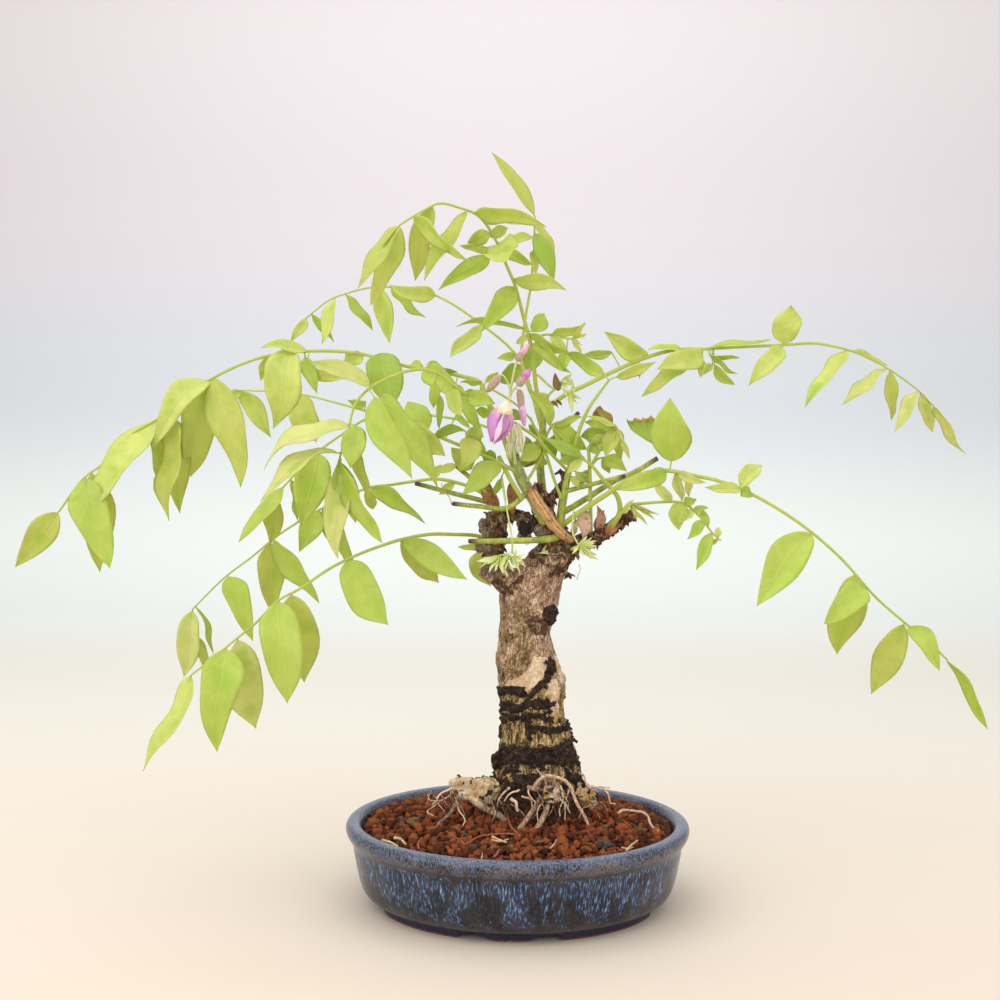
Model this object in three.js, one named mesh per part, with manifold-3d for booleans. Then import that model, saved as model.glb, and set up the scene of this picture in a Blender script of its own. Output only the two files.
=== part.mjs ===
// A japanese wisteria bonsai in its glazed oval pot, as a scene of closed solids.
// Units are millimetres, +Z is up, +X is the picture's right and +Y leads away from the viewer.
import * as THREE from 'three';
import { mergeVertices } from 'three/addons/utils/BufferGeometryUtils.js';
import Module from 'manifold-3d';

const wasm = await Module();
wasm.setup();

// Driving sizes of the pot.
const POT_HALF_WIDTH = 96;
const POT_HALF_DEPTH = 82;
const DEPTH_TAPER = 1.15;
const FLATTEST = 0.77;
const POT_SEGMENTS = 36;
const FLOOR_TOP = 10;
const NOTCH_WIDTH = 14;
const NOTCH_HEIGHT = 3.6;
const NOTCH_OFFSET = 20.4;
const NOTCH_SHIFT = -4.8;
const NICK_RADIUS = 1.8;
const DRAIN_RADIUS = 8;
const DRAIN_OFFSET = 30;
const MESH_SIZE = 24;
const MESH_THICKNESS = 1;

// Driving sizes of the plant.
const CLEARANCE = 0.3;
const SLIVER = 0.04;
const BLADE_THICKNESS = 0.75;
const BLADE_FOLD = 0.3;
const BLADE_ARCH = 0.07;
const NARROWEST = 0.3;
const SOIL_LEVEL = 43.5;
const MOUND_HEIGHT = 8;

// The plant was drawn from one place. A drawn point (u, v) is where it is seen on the
// plane through the trunk, and its depth slides it along the line from the eye.
const EYE = new THREE.Vector3(-11, -630, 223.8);
const EYE_LEVEL_DRAWN = 226;
const DROP = EYE_LEVEL_DRAWN - EYE.z;

function place(u, v, depth) {
  const spread = 1 + depth / -EYE.y;
  const z = EYE.z + (v - EYE_LEVEL_DRAWN) * spread;
  return new THREE.Vector3(EYE.x + (u - EYE.x) * spread, depth, z);
}

// Each leaf: its name, its stalks, each with the radius at its two ends and its points
// (u, v, depth), and its leaflets: base u, v, tip u, v, change of depth, width and sideways bow.
const FRONDS = [
  ['leaf_long_left', [
    [1.4, 0.55, [[-6, 253, -9], [-12, 268, -3], [-18, 280, 2], [-23, 292, 5], [-32, 295, 8],
      [-50, 298.5, 12],
      [-68, 301.5, 15], [-90, 307.5, 18], [-119, 308.7, 20], [-143, 305.5, 20], [-160, 299.5, 18],
      [-180, 288.5, 14], [-203, 270, 8], [-217, 262, 4], [-232, 246, 0], [-245, 236, -4],
      [-258, 218, -8]]],
  ], [
    [-258, 218, -282.5, 186.5, -5, 15, 0],
    [-243, 237, -229, 185, -14, 20, -2],
    [-240, 239, -235, 184.5, 14, 17, 2],
    [-216, 263, -244.5, 211, -15, 15, 3],
    [-205, 269, -226, 227, 13, 13, 2],
    [-205, 268, -196.5, 211, -14, 13, -3],
    [-203, 270, -190.5, 218, 16, 9, -2],
    [-178, 290, -205.5, 254, -16, 13, -5],
    [-182, 286, -184.5, 238, 14, 20, 0],
    [-174, 292, -156.5, 232, -15, 20, -3],
    [-129, 311, -138.5, 265, -14, 22, 0],
    [-141, 306, -145.5, 292.5, 10, 7, 0],
    [-120, 306, -96.5, 294, -12, 6, -5],
    [-78, 309, -72, 277, -13, 22, 0],
    [-88, 306.5, -99, 303, 8, 9, 0],
    [-53, 300, -45, 301, 9, 4, 2],
    [-54, 300, -62, 301, 9, 4, -2],
    [-48, 299.5, -35, 297.5, -5, 3, 1],
    [-56, 298, -30, 281, -12, 13, 1],
    [-37, 291, -20.5, 261, -15, 8, 1],
    [-20, 284, -31, 286.5, 9, 5, 0],
    [-15, 274, -25, 276, 9, 6, 0],
  ]],
  ['leaf_back_left', [
    [1.0, 0.5, [[12, 252, 6], [-6, 262, 26], [-30, 270, 48], [-58, 274, 66], [-84, 275, 80],
      [-100, 279, 88],
      [-123, 284.5, 96], [-142, 286, 100], [-158, 286.5, 103]]],
  ], [
    [-158, 285, -139.5, 260, 8, 11, -1],
    [-150, 286.5, -168, 276, -7, 8, 0],
    [-124, 283, -114, 256.5, -8, 16, 0],
    [-86, 280, -97, 281.5, -8, 6, 2],
  ]],
  ['leaf_hanging_left', [
    [1.3, 0.5, [[-5, 248, -12], [-10, 262, -13], [-17, 279, -17], [-28, 284, -21], [-36, 289, -25],
      [-45, 296, -28], [-55, 299, -32], [-65, 297.5, -36], [-75, 293.5, -40], [-84, 288.5, -43],
      [-89, 284, -45], [-93, 278, -46], [-96.5, 264, -48], [-99, 256, -48], [-103, 242, -48]]],
  ], [
    [-82, 284, -60, 237, -12, 15, -3],
    [-78, 286, -46, 232.5, 11, 13, 0],
    [-84, 291, -119, 303, -10, 9, -2],
    [-97, 268, -143.5, 242, -8, 10, -6],
    [-92, 268, -95, 243, -9, 13, 0],
    [-95, 262, -84, 226, 9, 6, -1],
    [-101, 250, -76.5, 200.5, -12, 9, -2],
    [-101, 250, -145.5, 224, -10, 6, -6],
    [-100, 247, -92, 213, 10, 12, 0],
    [-103, 242, -101.5, 192, -4, 12.5, 0],
    [-40, 288, -33, 272, -9, 9, 0],
    [-46, 286, -45.5, 265.5, 9, 4, 0],
  ]],
  ['leaf_middle_left', [
    [1.2, 0.5, [[-2, 242, -10], [-9, 245.5, -15], [-17, 249.5, -17], [-30, 255, -20], [-40, 259, -22],
      [-50, 263, -23], [-60, 266.5, -24], [-70, 269.5, -24], [-84, 271.5, -22], [-100, 262, -16],
      [-113, 252.5, -12], [-120, 246, -10], [-132, 233, -6]]],
  ], [
    [-52, 263, -63, 281, 8, 14, 0],
    [-64, 267, -41.5, 250, -8, 13, 0],
    [-111, 250, -115, 218, -10, 17, 0],
    [-128, 237, -124, 213, 8, 5, 0],
    [-132, 233, -157.5, 201, -8, 8, 1],
    [-136, 227, -140, 200, 8, 11, 0],
    [-47, 264, -29, 263.5, -10, 5, 3],
    [-30, 256, -38.5, 245.5, -8, 10, 0],
    [-38, 258, -25.5, 242.5, 9, 10, 0],
    [-28, 257, -23, 268, 9, 9, 0],
    [-10, 245, -32.5, 228.5, -9, 12, -2],
    [-34, 249, -51, 240.5, -5, 4, 0],
  ]],
  ['leaf_low_mid_left', [
    [1.2, 0.5, [[-12, 214, 2], [-16, 225, 8], [-24, 231.5, 13], [-35, 235.5, 17], [-47, 237.5, 20],
      [-60, 236, 24], [-73, 234, 28], [-84, 232.5, 30], [-100, 226, 33], [-118, 216.5, 36],
      [-135, 205.5, 38], [-150, 193, 39], [-165, 181.5, 40], [-183, 163.5, 40]]],
  ], [
    [-84, 232, -53, 212.5, -14, 9, 3],
    [-85, 231, -82, 220, 8, 7, 0],
    [-113, 220, -123.5, 195.5, -12, 13, 0],
    [-113, 220, -90, 184, 12, 9, 0],
    [-142, 201, -137, 160, -13, 14, -3],
    [-139, 202, -112, 167.5, 12, 11, 0],
    [-163, 182, -149.5, 146, -12, 12, 0],
    [-183, 163.5, -187, 123.5, -8, 12, 0],
    [-181, 165, -170.5, 138, 8, 4, 0],
    [-180, 166, -169.5, 124, 12, 6, 0],
  ]],
  ['leaf_lowest_left', [
    [1.3, 0.55, [[-12, 203, 6], [-25, 206, 7], [-36, 206.5, 2], [-50, 206.5, -6], [-66, 203.5, -14],
      [-77, 200, -20], [-90, 195, -27], [-106, 187, -35], [-122, 176, -42], [-136, 168, -48],
      [-147, 156.5, -52], [-159, 146.5, -56], [-171, 136.5, -60], [-183, 127, -63]]],
  ], [
    [-66, 204, -28.5, 181, -12, 13, 0],
    [-67, 203, -45, 179.5, 12, 13, 0],
    [-98, 191, -73, 155.5, -16, 20, -1.5],
    [-128, 172, -120, 123.5, 14, 22, 0],
    [-135, 168, -129.5, 111, -16, 22, 0],
    [-158, 147, -147, 98, 14, 20, 0],
    [-164, 142, -168.5, 83.5, -16, 22, 0],
    [-183, 127, -210, 72.5, -6, 9, 1],
  ]],
  ['leaf_behind_stub', [
    [0.9, 0.6, [[-8, 183, 3], [-11, 191, 13], [-14, 197, 20], [-18, 200, 24]]],
  ], [
    [-18, 200, -16, 177.5, -2, 12, -3],
    [-20, 200.5, -34.5, 199.5, 4, 4, 0],
  ]],
  ['leaf_top_arch', [
    [1.3, 0.5, [[12.5, 276, 3], [9, 288, -3], [7, 305, -8], [5, 316, -11], [2.5, 325, -13],
      [-1, 338, -15],
      [-4, 348, -16], [-8, 357, -18], [-14, 371, -21], [-24, 385, -25], [-35, 389.7, -28],
      [-46, 392, -31], [-55, 388, -33], [-68, 380, -36]]],
    [0.8, 0.5, [[5, 316, -11], [15, 319, -14], [25, 317, -17], [29.5, 316.5, -18]]],
  ], [
    [-68, 380, -92, 343.5, -8, 8, 0],
    [-68, 380, -84.5, 334, 8, 12, 0],
    [-61, 383.5, -29.5, 360, -12, 8, 0],
    [-50, 391, -59.5, 348, 10, 10, 0],
    [-30, 388, -55, 347.5, -12, 8, 0],
    [-27, 387, 15, 379, -14, 8, 3],
    [-24, 384, 6, 382, 8, 4, -1],
    [-17, 363, -47, 343, -12, 9, 0],
    [-4, 346, -22.5, 320, -12, 12, 0],
    [-13, 369, -8, 357.5, -26, 17, 0],
    [-17, 375, -7.5, 378.5, 8, 4, 0],
    [-18, 376, -30, 371, 8, 5, 0],
    [-13, 367, -35, 368.5, 8, 4, 0],
    [-10, 364, 6.5, 358, 8, 6, 1],
    [-4, 350, 26, 343.5, -14, 8, 2],
    [29, 316.5, 36, 326, -3, 3, 0],
    [29.5, 316.5, 37, 319.5, 4, 2.2, 0],
    [29, 316.5, 34.5, 313.3, -4, 2, 0],
    [28.5, 316.8, 34, 308.5, 3, 2.5, 0],
    [13, 318, 24, 308, 8, 8, 0],
    [8, 315, 28, 297.5, -9, 10, 0],
    [-1, 330, -14, 327.5, 7, 3, 0],
  ]],
  ['leaf_top_upright', [
    [1.1, 0.5, [[12.7, 271, 6], [9, 280, 11], [5, 288, 13], [0.5, 305, 15], [1.3, 318, 15],
      [2.9, 330.6, 15],
      [5.3, 345.2, 14], [6.3, 356.4, 13], [7, 366.6, 12], [7.3, 380, 11], [7.5, 385, 10]]],
  ], [
    [7.5, 385, -16.5, 420.8, -6, 9, -2],
    [8, 377, 18.5, 348, -8, 10, 1],
    [8.5, 382, 18.5, 361, 8, 6, 3],
    [8.5, 367, 8, 352, -6, 5, 0],
    [6.8, 373, -13.5, 370, -8, 5, 0],
    [3, 328, 11, 331, 7, 8, 0],
  ]],
  ['leaf_upper_left', [
    [1.0, 0.45, [[12.4, 264, 5.5], [9, 276, 14], [6, 288, 22], [0.5, 303, 27], [-3, 308, 28],
      [-10, 315, 30], [-19, 322, 32],
      [-35, 333.5, 37], [-47, 340, 41], [-60, 344, 45], [-75, 345, 50], [-85, 344.5, 53],
      [-100, 340.5, 57], [-108, 337, 59], [-120, 327.5, 62]]],
  ], [
    [-50, 341, -75, 348, -9, 6, -2],
    [-74, 345.5, -52.5, 327.5, -10, 6, 0],
    [-79, 344, -73.5, 313, -9, 11, 0],
    [-98, 341, -83, 320.5, 9, 6, 0],
    [-104, 339, -111.5, 312.5, -9, 7, 0],
    [-118, 329, -105, 314, 9, 5, 0],
    [-120, 327.5, -129, 313, -5, 6, 0],
    [-22, 324, -40, 305, -9, 9, 0],
    [1, 302, -13, 294, 9, 9, 0],
    [2, 302, 12, 305, 9, 8, 0],
    [-3, 307, -13.5, 305, -6, 5, 0],
  ]],
  ['leaf_long_right', [
    [1.4, 0.5, [[14, 277, 7], [25, 285, 12], [37, 291, 17], [50, 297.5, 22], [62, 303, 27], [75, 308, 32],
      [88, 311, 36], [103, 311.5, 40], [120, 312.5, 44], [147, 314, 49], [165, 315, 52], [175, 313.5, 53],
      [185, 311, 54], [195, 307, 55], [207, 300.5, 56], [223, 289, 57], [231, 281, 57]]],
  ], [
    [72, 309, 47, 320.5, -8, 10, 0],
    [53, 304, 34.5, 308, 8, 5, 0],
    [103, 309, 76, 299.5, -16, 14, 0],
    [96, 306, 68, 284.5, -10, 9, 0],
    [104, 313, 139.5, 317, 8, 3, 0],
    [105, 308, 123, 306.5, -8, 2.5, 0],
    [106, 308, 122, 297.5, -12, 3.5, 0],
    [108, 303, 120.5, 291.5, 8, 6, -2],
    [102, 305, 101, 295, -6, 5, 0],
    [147, 316, 151.5, 336.5, -5, 17, 0],
    [147, 313, 128, 291, -12, 12, 0],
    [183, 310.5, 159.5, 279, -12, 9, 0],
    [185, 311.5, 206, 303, 8, 3.5, 0],
    [206, 300.5, 180, 280.5, -12, 7, 0],
    [207, 300.5, 208, 272, 10, 7.5, 0],
    [223, 289, 209.5, 265.5, -10, 7.5, 0],
    [224, 288, 231, 266, 9, 7.5, 0],
    [231, 281, 250, 253.5, -3, 5.5, 0],
  ]],
  ['leaf_low_right', [
    [1.6, 0.55, [[24, 212, -5], [33, 219, -9], [41, 224.5, -13], [50, 230.5, -17], [58, 236, -21],
      [67, 240.5, -24], [77, 243, -28], [84, 243, -31], [100, 240, -36], [110, 238, -39],
      [123, 233.5, -43], [140, 225, -48], [160, 212, -52], [180, 195, -55], [200, 173, -57],
      [218, 157.5, -58], [229, 149, -58], [239.5, 139, -58]]],
  ], [
    [85, 247, 84, 284, -6, 20, 0],
    [82, 246, 60, 270.5, 8, 12, 0],
    [83, 242.5, 54, 232, -12, 10, 1],
    [87, 241, 91, 225.5, 8, 5, 0],
    [93, 240, 95, 228, 8, 4, 0],
    [88, 241, 105, 236.5, -9, 5, -1],
    [124, 232.5, 104, 234, -9, 6, 0],
    [123, 234.5, 136, 246.5, 8, 9, 2],
    [124, 232, 131, 228.5, -8, 6, 0],
    [163, 209.5, 133, 165.5, -16, 18, 0],
    [194, 181, 170, 156.5, -14, 15, 0],
    [188, 185, 178.5, 140, 14, 17, 0],
    [217, 158, 198, 119, 14, 14, 0],
    [219, 158.5, 236, 132, -12, 10, 3],
    [239.5, 139, 263, 100, -5, 5, 2.5],
  ]],
  ['leaf_small_right', [
    [1.1, 0.4, [[52, 211, -7], [57, 219, -14], [62, 223.5, -15], [71, 224.8, -17], [83, 225.6, -20],
      [92, 225, -23], [100, 218.5, -26], [105, 212.5, -28], [109, 207.5, -29], [113, 204, -30]]],
  ], [
    [86, 227, 75.5, 235.5, 8, 6, 0],
    [89, 226, 89.5, 209.5, -8, 10, 0],
    [92, 225, 99.5, 227.5, -6, 5, 0],
    [103, 214.5, 94, 204.5, -8, 6, 0],
    [106, 212, 102, 222.5, 7, 4, 0],
    [107, 208.5, 99, 187, -8, 7, 0],
    [111, 206, 111.5, 211.5, 4, 3.5, 0],
    [112, 205, 104, 201, 6, 3, 0],
    [64, 224, 78, 218.5, -6, 2.2, 0],
    [64, 224, 76, 215.5, 5, 2.2, 0],
    [63, 223.7, 71.5, 212.8, -8, 2.2, 0],
    [62, 223.5, 66, 215, 4, 2, 0],
  ]],
  ['leaf_crossing_right', [
    [1.8, 0.7, [[50, 210.5, -4], [56, 219, -8], [55, 228, -10], [51, 233, -12], [45, 240, -14],
      [40, 246, -15], [35, 249.5, -15]]],
  ], [
    [35, 250, 10, 264.5, -3, 7, 1],
    [35, 249.5, 21, 247.5, 3, 6, 0],
  ]],
  ['leaf_upper_right', [
    [1.4, 0.7, [[27.5, 243, -6], [30, 254, -8], [33, 265, -10], [38, 277, -12], [44, 286, -13],
      [49.5, 293.5, -14]]],
  ], [
    [48, 296, 24, 308.5, 8, 8, -1],
    [53, 295, 76, 304, -8, 6, 0],
  ]],
  ['leaf_torn_right', [
    [1.3, 0.9, [[40, 203, -1], [39.8, 215, -4], [39.6, 230, -6], [39, 246, -7], [38.3, 256.5, -8]]],
    [1.0, 0.6, [[39.2, 244, -7], [44, 253, -9], [48, 260, -10], [54, 267.5, -11]]],
    [0.8, 0.5, [[39.2, 244, -7], [43, 249, -6], [47, 250.3, -5]]],
  ], [
    [53, 266.5, 36, 270, 8, 6, 0],
    [54, 268.5, 37, 273.5, -5, 3, 0],
    [50, 263, 34, 262, 9, 9, 0],
    [52, 269, 43, 278.5, 6, 5, 0],
    [53, 266, 48, 250, -8, 9, 0],
    [54.5, 267, 57, 249, 4, 6, 0],
    [55, 267.5, 61.5, 249.5, -6, 4, 0],
    [47, 250.3, 60, 242.5, -5, 8, 1],
    [46, 250, 50.5, 241.5, 4, 5, 0],
  ]],
  ['leaf_centre', [
    [1.0, 0.7, [[12.3, 256, 4], [15, 263, -5], [18, 268.5, -9]]],
  ], [
    [17, 269, 3.5, 288, -6, 10, -3],
    [18.5, 269.5, 35, 273, -4, 4.5, 0],
    [18, 268, 33, 254, 5, 8, 0],
  ]],
  ['leaf_heart', [
    [0.9, 0.6, [[11, 240, 4], [9, 247, -5], [8, 251, -9]]],
  ], [
    [8, 251, -1, 253.5, -4, 7, -2],
    [8, 251, 10, 260, 5, 7, 0],
    [8.5, 250, 2, 244.5, 4, 5, 0],
  ]],
];

// Joining and cutting. Slivers that a join leaves behind are smoothed away.
function solid(geometry) {
  const bare = geometry.clone();
  bare.deleteAttribute('normal');
  bare.deleteAttribute('uv');
  const merged = mergeVertices(bare, 1e-4);
  return new wasm.Manifold(new wasm.Mesh({
    numProp: 3,
    vertProperties: Float32Array.from(merged.attributes.position.array),
    triVerts: Uint32Array.from(merged.index.array),
  }));
}

function joined(solids) {
  return solids.reduce((whole, piece) => whole.add(piece));
}

function named(name, body, material) {
  const mesh = largest(body.asOriginal().simplify(SLIVER)).getMesh();
  const geometry = new THREE.BufferGeometry();
  const points = new Float32Array(mesh.vertProperties);
  geometry.setAttribute('position', new THREE.BufferAttribute(points, 3));
  geometry.setIndex(new THREE.BufferAttribute(new Uint32Array(mesh.triVerts), 1));
  geometry.computeVertexNormals();
  const result = new THREE.Mesh(geometry, material);
  result.name = name;
  return result;
}

function surface(points, triangles) {
  const geometry = new THREE.BufferGeometry();
  const flat = points.flatMap((point) => point.toArray());
  geometry.setAttribute('position', new THREE.Float32BufferAttribute(flat, 3));
  geometry.setIndex(triangles);
  return geometry;
}

// A closed round limb through hand-placed points, with a radius for each point.
function limb(points, radii, sides, steps, rough = 0) {
  const curve = new THREE.CatmullRomCurve3(points, false, 'centripetal');
  const frames = curve.computeFrenetFrames(steps, false);
  const lengths = curve.getLengths(200);
  const total = lengths[200];
  const marks = points.map((_, i) => lengths[Math.round((i / (points.length - 1)) * 200)] / total);
  const radiusAt = (t) => {
    let i = 0;
    while (i < marks.length - 2 && t > marks[i + 1]) {
      i += 1;
    }
    const share = (t - marks[i]) / (marks[i + 1] - marks[i]);
    return THREE.MathUtils.lerp(radii[i], radii[i + 1], Math.min(1, Math.max(0, share)));
  };
  const vertices = [];
  for (let i = 0; i <= steps; i += 1) {
    const centre = curve.getPointAt(i / steps);
    for (let k = 0; k < sides; k += 1) {
      const angle = (k / sides) * 2 * Math.PI;
      const wobble = 1 + rough * Math.sin(3 * angle + i * 1.7) + rough * Math.sin(i * 2.3 + k * 4.1);
      const radius = radiusAt(i / steps) * wobble;
      vertices.push(centre.clone()
        .addScaledVector(frames.normals[i], radius * Math.cos(angle))
        .addScaledVector(frames.binormals[i], radius * Math.sin(angle)));
    }
  }
  const triangles = [];
  for (let i = 0; i < steps; i += 1) {
    for (let k = 0; k < sides; k += 1) {
      const a = i * sides + k;
      const b = i * sides + (k + 1) % sides;
      triangles.push(a, b, a + sides, b, b + sides, a + sides);
    }
  }
  const first = vertices.push(curve.getPointAt(0)) - 1;
  const last = vertices.push(curve.getPointAt(1)) - 1;
  for (let k = 0; k < sides; k += 1) {
    const next = (k + 1) % sides;
    triangles.push(first, next, k, last, steps * sides + k, steps * sides + next);
  }
  return solid(surface(vertices, triangles));
}

// A limb drawn as (u, v, depth) points, with its radius running from one end to the other.
function drawnLimb([startRadius, endRadius, points], sides, grow = 0, rough = 0) {
  const placed = points.map(([u, v, depth]) => place(u, v, depth));
  const radii = points.map((_, i) =>
    THREE.MathUtils.lerp(startRadius, endRadius, i / (points.length - 1)) + grow);
  return limb(placed, radii, sides, Math.max(3, points.length), rough);
}

// A thin closed blade from rows of points: one point at each end and two or three across between.
// Both faces are split alike, so a waved blade never crosses itself.
function blade(rows, faces) {
  const half = BLADE_THICKNESS / 2;
  const top = [];
  const starts = rows.map((row, i) => {
    const start = top.length;
    row.forEach((point) => top.push(point.clone().addScaledVector(faces[i], half)));
    return start;
  });
  const bottom = rows.flatMap((row, i) =>
    row.map((point) => point.clone().addScaledVector(faces[i], -half)));
  const skin = [];
  for (let i = 0; i < rows.length - 1; i += 1) {
    const here = starts[i];
    const next = starts[i + 1];
    const across = Math.max(rows[i].length, rows[i + 1].length) - 1;
    for (let side = 0; side < across; side += 1) {
      if (rows[i].length === 1) {
        skin.push([here, next + side + 1, next + side]);
      } else if (rows[i + 1].length === 1) {
        skin.push([here + side, here + side + 1, next]);
      } else {
        skin.push([here + side, here + side + 1, next + side + 1]);
        skin.push([here + side, next + side + 1, next + side]);
      }
    }
  }
  const left = starts.slice(1, -1);
  const right = left.map((start, i) => start + rows[i + 1].length - 1);
  const rim = [starts[0], ...right, starts[rows.length - 1], ...left.reverse()];
  const below = top.length;
  const triangles = skin.flat();
  skin.forEach(([a, b, c]) => triangles.push(a + below, c + below, b + below));
  rim.forEach((a, i) => {
    const b = rim[(i + 1) % rim.length];
    triangles.push(b, a, a + below, b, a + below, b + below);
  });
  const body = solid(surface([...top, ...bottom], triangles));
  return body.volume() < 0 ? solid(surface([...top, ...bottom], triangles.reverse())) : body;
}

// A leaflet: broadest a third of the way along and drawn out to a point, with waved edges.
const WIDE_STATIONS = [[0.17, 0.74], [0.45, 1], [0.76, 0.55]];
const NARROW_STATIONS = [[0.3, 0.95], [0.68, 0.75]];
const NARROW = 7;
const FOLDED = 13;

function leaflet(root, base, tip, width, bow) {
  const run = tip.clone().sub(base);
  const length = run.length();
  const sight = base.clone().add(tip).multiplyScalar(0.5).sub(EYE).normalize();
  const side = new THREE.Vector3().crossVectors(run, sight).normalize();
  const face = new THREE.Vector3().crossVectors(run, side).normalize();
  const trueWidth = Math.min(Math.max(width, NARROWEST * length), 2 * width);
  const turn = Math.acos(width / trueWidth) * (tip.y < base.y ? 1 : -1);
  const across = side.clone().multiplyScalar(Math.cos(turn)).addScaledVector(face, Math.sin(turn));
  const facing = face.clone().multiplyScalar(Math.cos(turn)).addScaledVector(side, -Math.sin(turn));
  const middle = (t) => base.clone().addScaledVector(run, t)
    .addScaledVector(side, 4 * bow * t * (1 - t))
    .addScaledVector(face, 4 * BLADE_ARCH * length * t * (1 - t));
  const rows = [[root]];
  const stations = width < NARROW ? NARROW_STATIONS : WIDE_STATIONS;
  const sides = width < FOLDED ? [-1, 1] : [-1, 0, 1];
  if (root.distanceTo(base) > 2.5) {
    rows.push(sides.map((s) => base.clone().addScaledVector(across, 0.6 * s)));
  }
  stations.forEach(([t, share], i) => {
    const half = (trueWidth / 2) * share;
    rows.push(sides.map((s) => {
      const reach = s * half * (1 + 0.06 * Math.sin(5 * i + width * s));
      const wave = s * 0.1 * half * Math.sin(2.4 * i + length);
      const rise = Math.abs(s) * BLADE_FOLD * half + wave;
      return middle(t).addScaledVector(across, reach).addScaledVector(facing, rise);
    }));
  });
  rows.push([tip]);
  return blade(rows, rows.map(() => facing));
}

// The point of a drawn stalk that is seen nearest to a drawn place.
function nearestOnStalks(stalks, u, v) {
  let best = null;
  stalks.forEach(([, , points]) => {
    const drawn = points.map((point) => new THREE.Vector3(...point));
    const curve = new THREE.CatmullRomCurve3(drawn, false, 'centripetal');
    for (let i = 0; i <= 120; i += 1) {
      const point = curve.getPoint(i / 120);
      const away = Math.hypot(point.x - u, point.y - v);
      if (best === null || away < best.away) {
        best = { away, point };
      }
    }
  });
  return best.point;
}

function leaf([, stalks, leaflets]) {
  const pieces = stalks.map((stalk) => drawnLimb(stalk, 3));
  leaflets.forEach(([u, v, tipU, tipV, lean, width, bow]) => {
    const foot = nearestOnStalks(stalks, u, v);
    const root = place(foot.x, foot.y, foot.z);
    const near = Math.hypot(foot.x - u, foot.y - v) < 2.5;
    const base = near ? root : place(u, v, foot.z + lean * 0.15);
    pieces.push(leaflet(root, base, place(tipU, tipV, foot.z + lean), width, bow));
  });
  return joined(pieces);
}

// Materials.
const paint = (color, roughness) => new THREE.MeshStandardMaterial({ color, roughness, metalness: 0 });
const leafGreen = paint(0xa5bd3c, 0.55);
const shootGreen = paint(0x8f9f45, 0.6);
const bark = paint(0x8a6449, 0.9);
const clay = paint(0x8c4a30, 0.95);
const glaze = paint(0x2b3446, 0.25);
const plastic = paint(0x1d1d1d, 0.6);
const lilac = paint(0xd79ad0, 0.5);
const calyxBrown = paint(0xb08f76, 0.7);
const calyxCream = paint(0xeed9a8, 0.6);
const silky = paint(0xd6dba2, 0.7);

// The pot: a turned bowl squeezed to an oval, with notched feet and two drain holes.
const POT_OUTLINE = [
  [0, 4.5], [71, 4.5], [71.8, 0], [78.6, 0], [79.4, 4.8], [84, 7], [87.4, 13.5],
  [90, 24], [91.8, 35.6], [95.4, 38.2], [95.7, 43.6], [93, 46], [88.6, 46], [86.6, 43],
  [85.2, 24], [79, 12], [70, 10], [0, 10],
];

// The bowl tapers more from front to back than from side to side.
function squeeze(radius) {
  const halfDepth = POT_HALF_DEPTH - DEPTH_TAPER * (POT_HALF_WIDTH - radius);
  return Math.max(FLATTEST, halfDepth / radius);
}

function turned(outline, segments) {
  const points = outline.map(([r, z]) => new THREE.Vector2(r, z));
  const geometry = new THREE.LatheGeometry(points, segments).rotateX(Math.PI / 2);
  const places = geometry.attributes.position;
  for (let i = 0; i < places.count; i += 1) {
    const radius = Math.hypot(places.getX(i), places.getY(i));
    places.setY(i, radius > 0 ? -places.getY(i) * squeeze(radius) : 0);
  }
  return geometry;
}

function closedTurned(outline, segments) {
  const geometry = turned(outline, segments);
  const body = solid(geometry);
  return body.volume() < 0 ? solid(flipped(geometry)) : body;
}

function flipped(geometry) {
  const copy = geometry.clone();
  copy.setIndex(Array.from(copy.index.array).reverse());
  return copy;
}

function box(width, depth, height, x, y, z) {
  return solid(new THREE.BoxGeometry(width, depth, height).translate(x, y, z));
}

// An arched notch through the foot ring, along Y where turnZ is zero.
function footNotch(offset, turnZ) {
  const arch = new THREE.Shape();
  arch.moveTo(-NOTCH_WIDTH / 2, -1);
  arch.lineTo(NOTCH_WIDTH / 2, -1);
  arch.lineTo(NOTCH_WIDTH / 2, NOTCH_HEIGHT - 3);
  arch.absarc(NOTCH_WIDTH / 2 - 3, NOTCH_HEIGHT - 3, 3, 0, Math.PI / 2);
  arch.absarc(3 - NOTCH_WIDTH / 2, NOTCH_HEIGHT - 3, 3, Math.PI / 2, Math.PI);
  const reach = 2 * POT_HALF_WIDTH;
  const geometry = new THREE.ExtrudeGeometry(arch, { depth: reach, bevelEnabled: false, curveSegments: 2 });
  geometry.rotateX(Math.PI / 2).translate(offset, reach / 2, 0).rotateZ(turnZ);
  return solid(geometry);
}

function potBody() {
  let body = closedTurned(POT_OUTLINE, POT_SEGMENTS);
  const cuts = [-1, 1].flatMap((s) => [
    footNotch(NOTCH_SHIFT + s * NOTCH_OFFSET, 0),
    footNotch(s * NOTCH_OFFSET, Math.PI / 2),
    solid(new THREE.CylinderGeometry(DRAIN_RADIUS, DRAIN_RADIUS, 30, 16).rotateX(Math.PI / 2)
      .translate(s * DRAIN_OFFSET, 0, FLOOR_TOP)),
  ]);
  const nick = new THREE.CylinderGeometry(NICK_RADIUS, NICK_RADIUS, 2 * POT_HALF_WIDTH, 8);
  cuts.push(solid(nick.translate(NOTCH_SHIFT, 0, 0)));
  cuts.forEach((cut) => { body = body.subtract(cut); });
  return body;
}

// A drain mesh: a thin plastic square with rows of slots, lying over its hole.
function drainMesh(x) {
  const zFloor = FLOOR_TOP + CLEARANCE;
  let plate = box(MESH_SIZE, MESH_SIZE, MESH_THICKNESS, x, 0, zFloor + MESH_THICKNESS / 2);
  for (let i = -2; i <= 2; i += 1) {
    plate = plate.subtract(box(MESH_SIZE - 5, 2.2, 4, x, i * 4, zFloor));
  }
  return plate;
}

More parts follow.
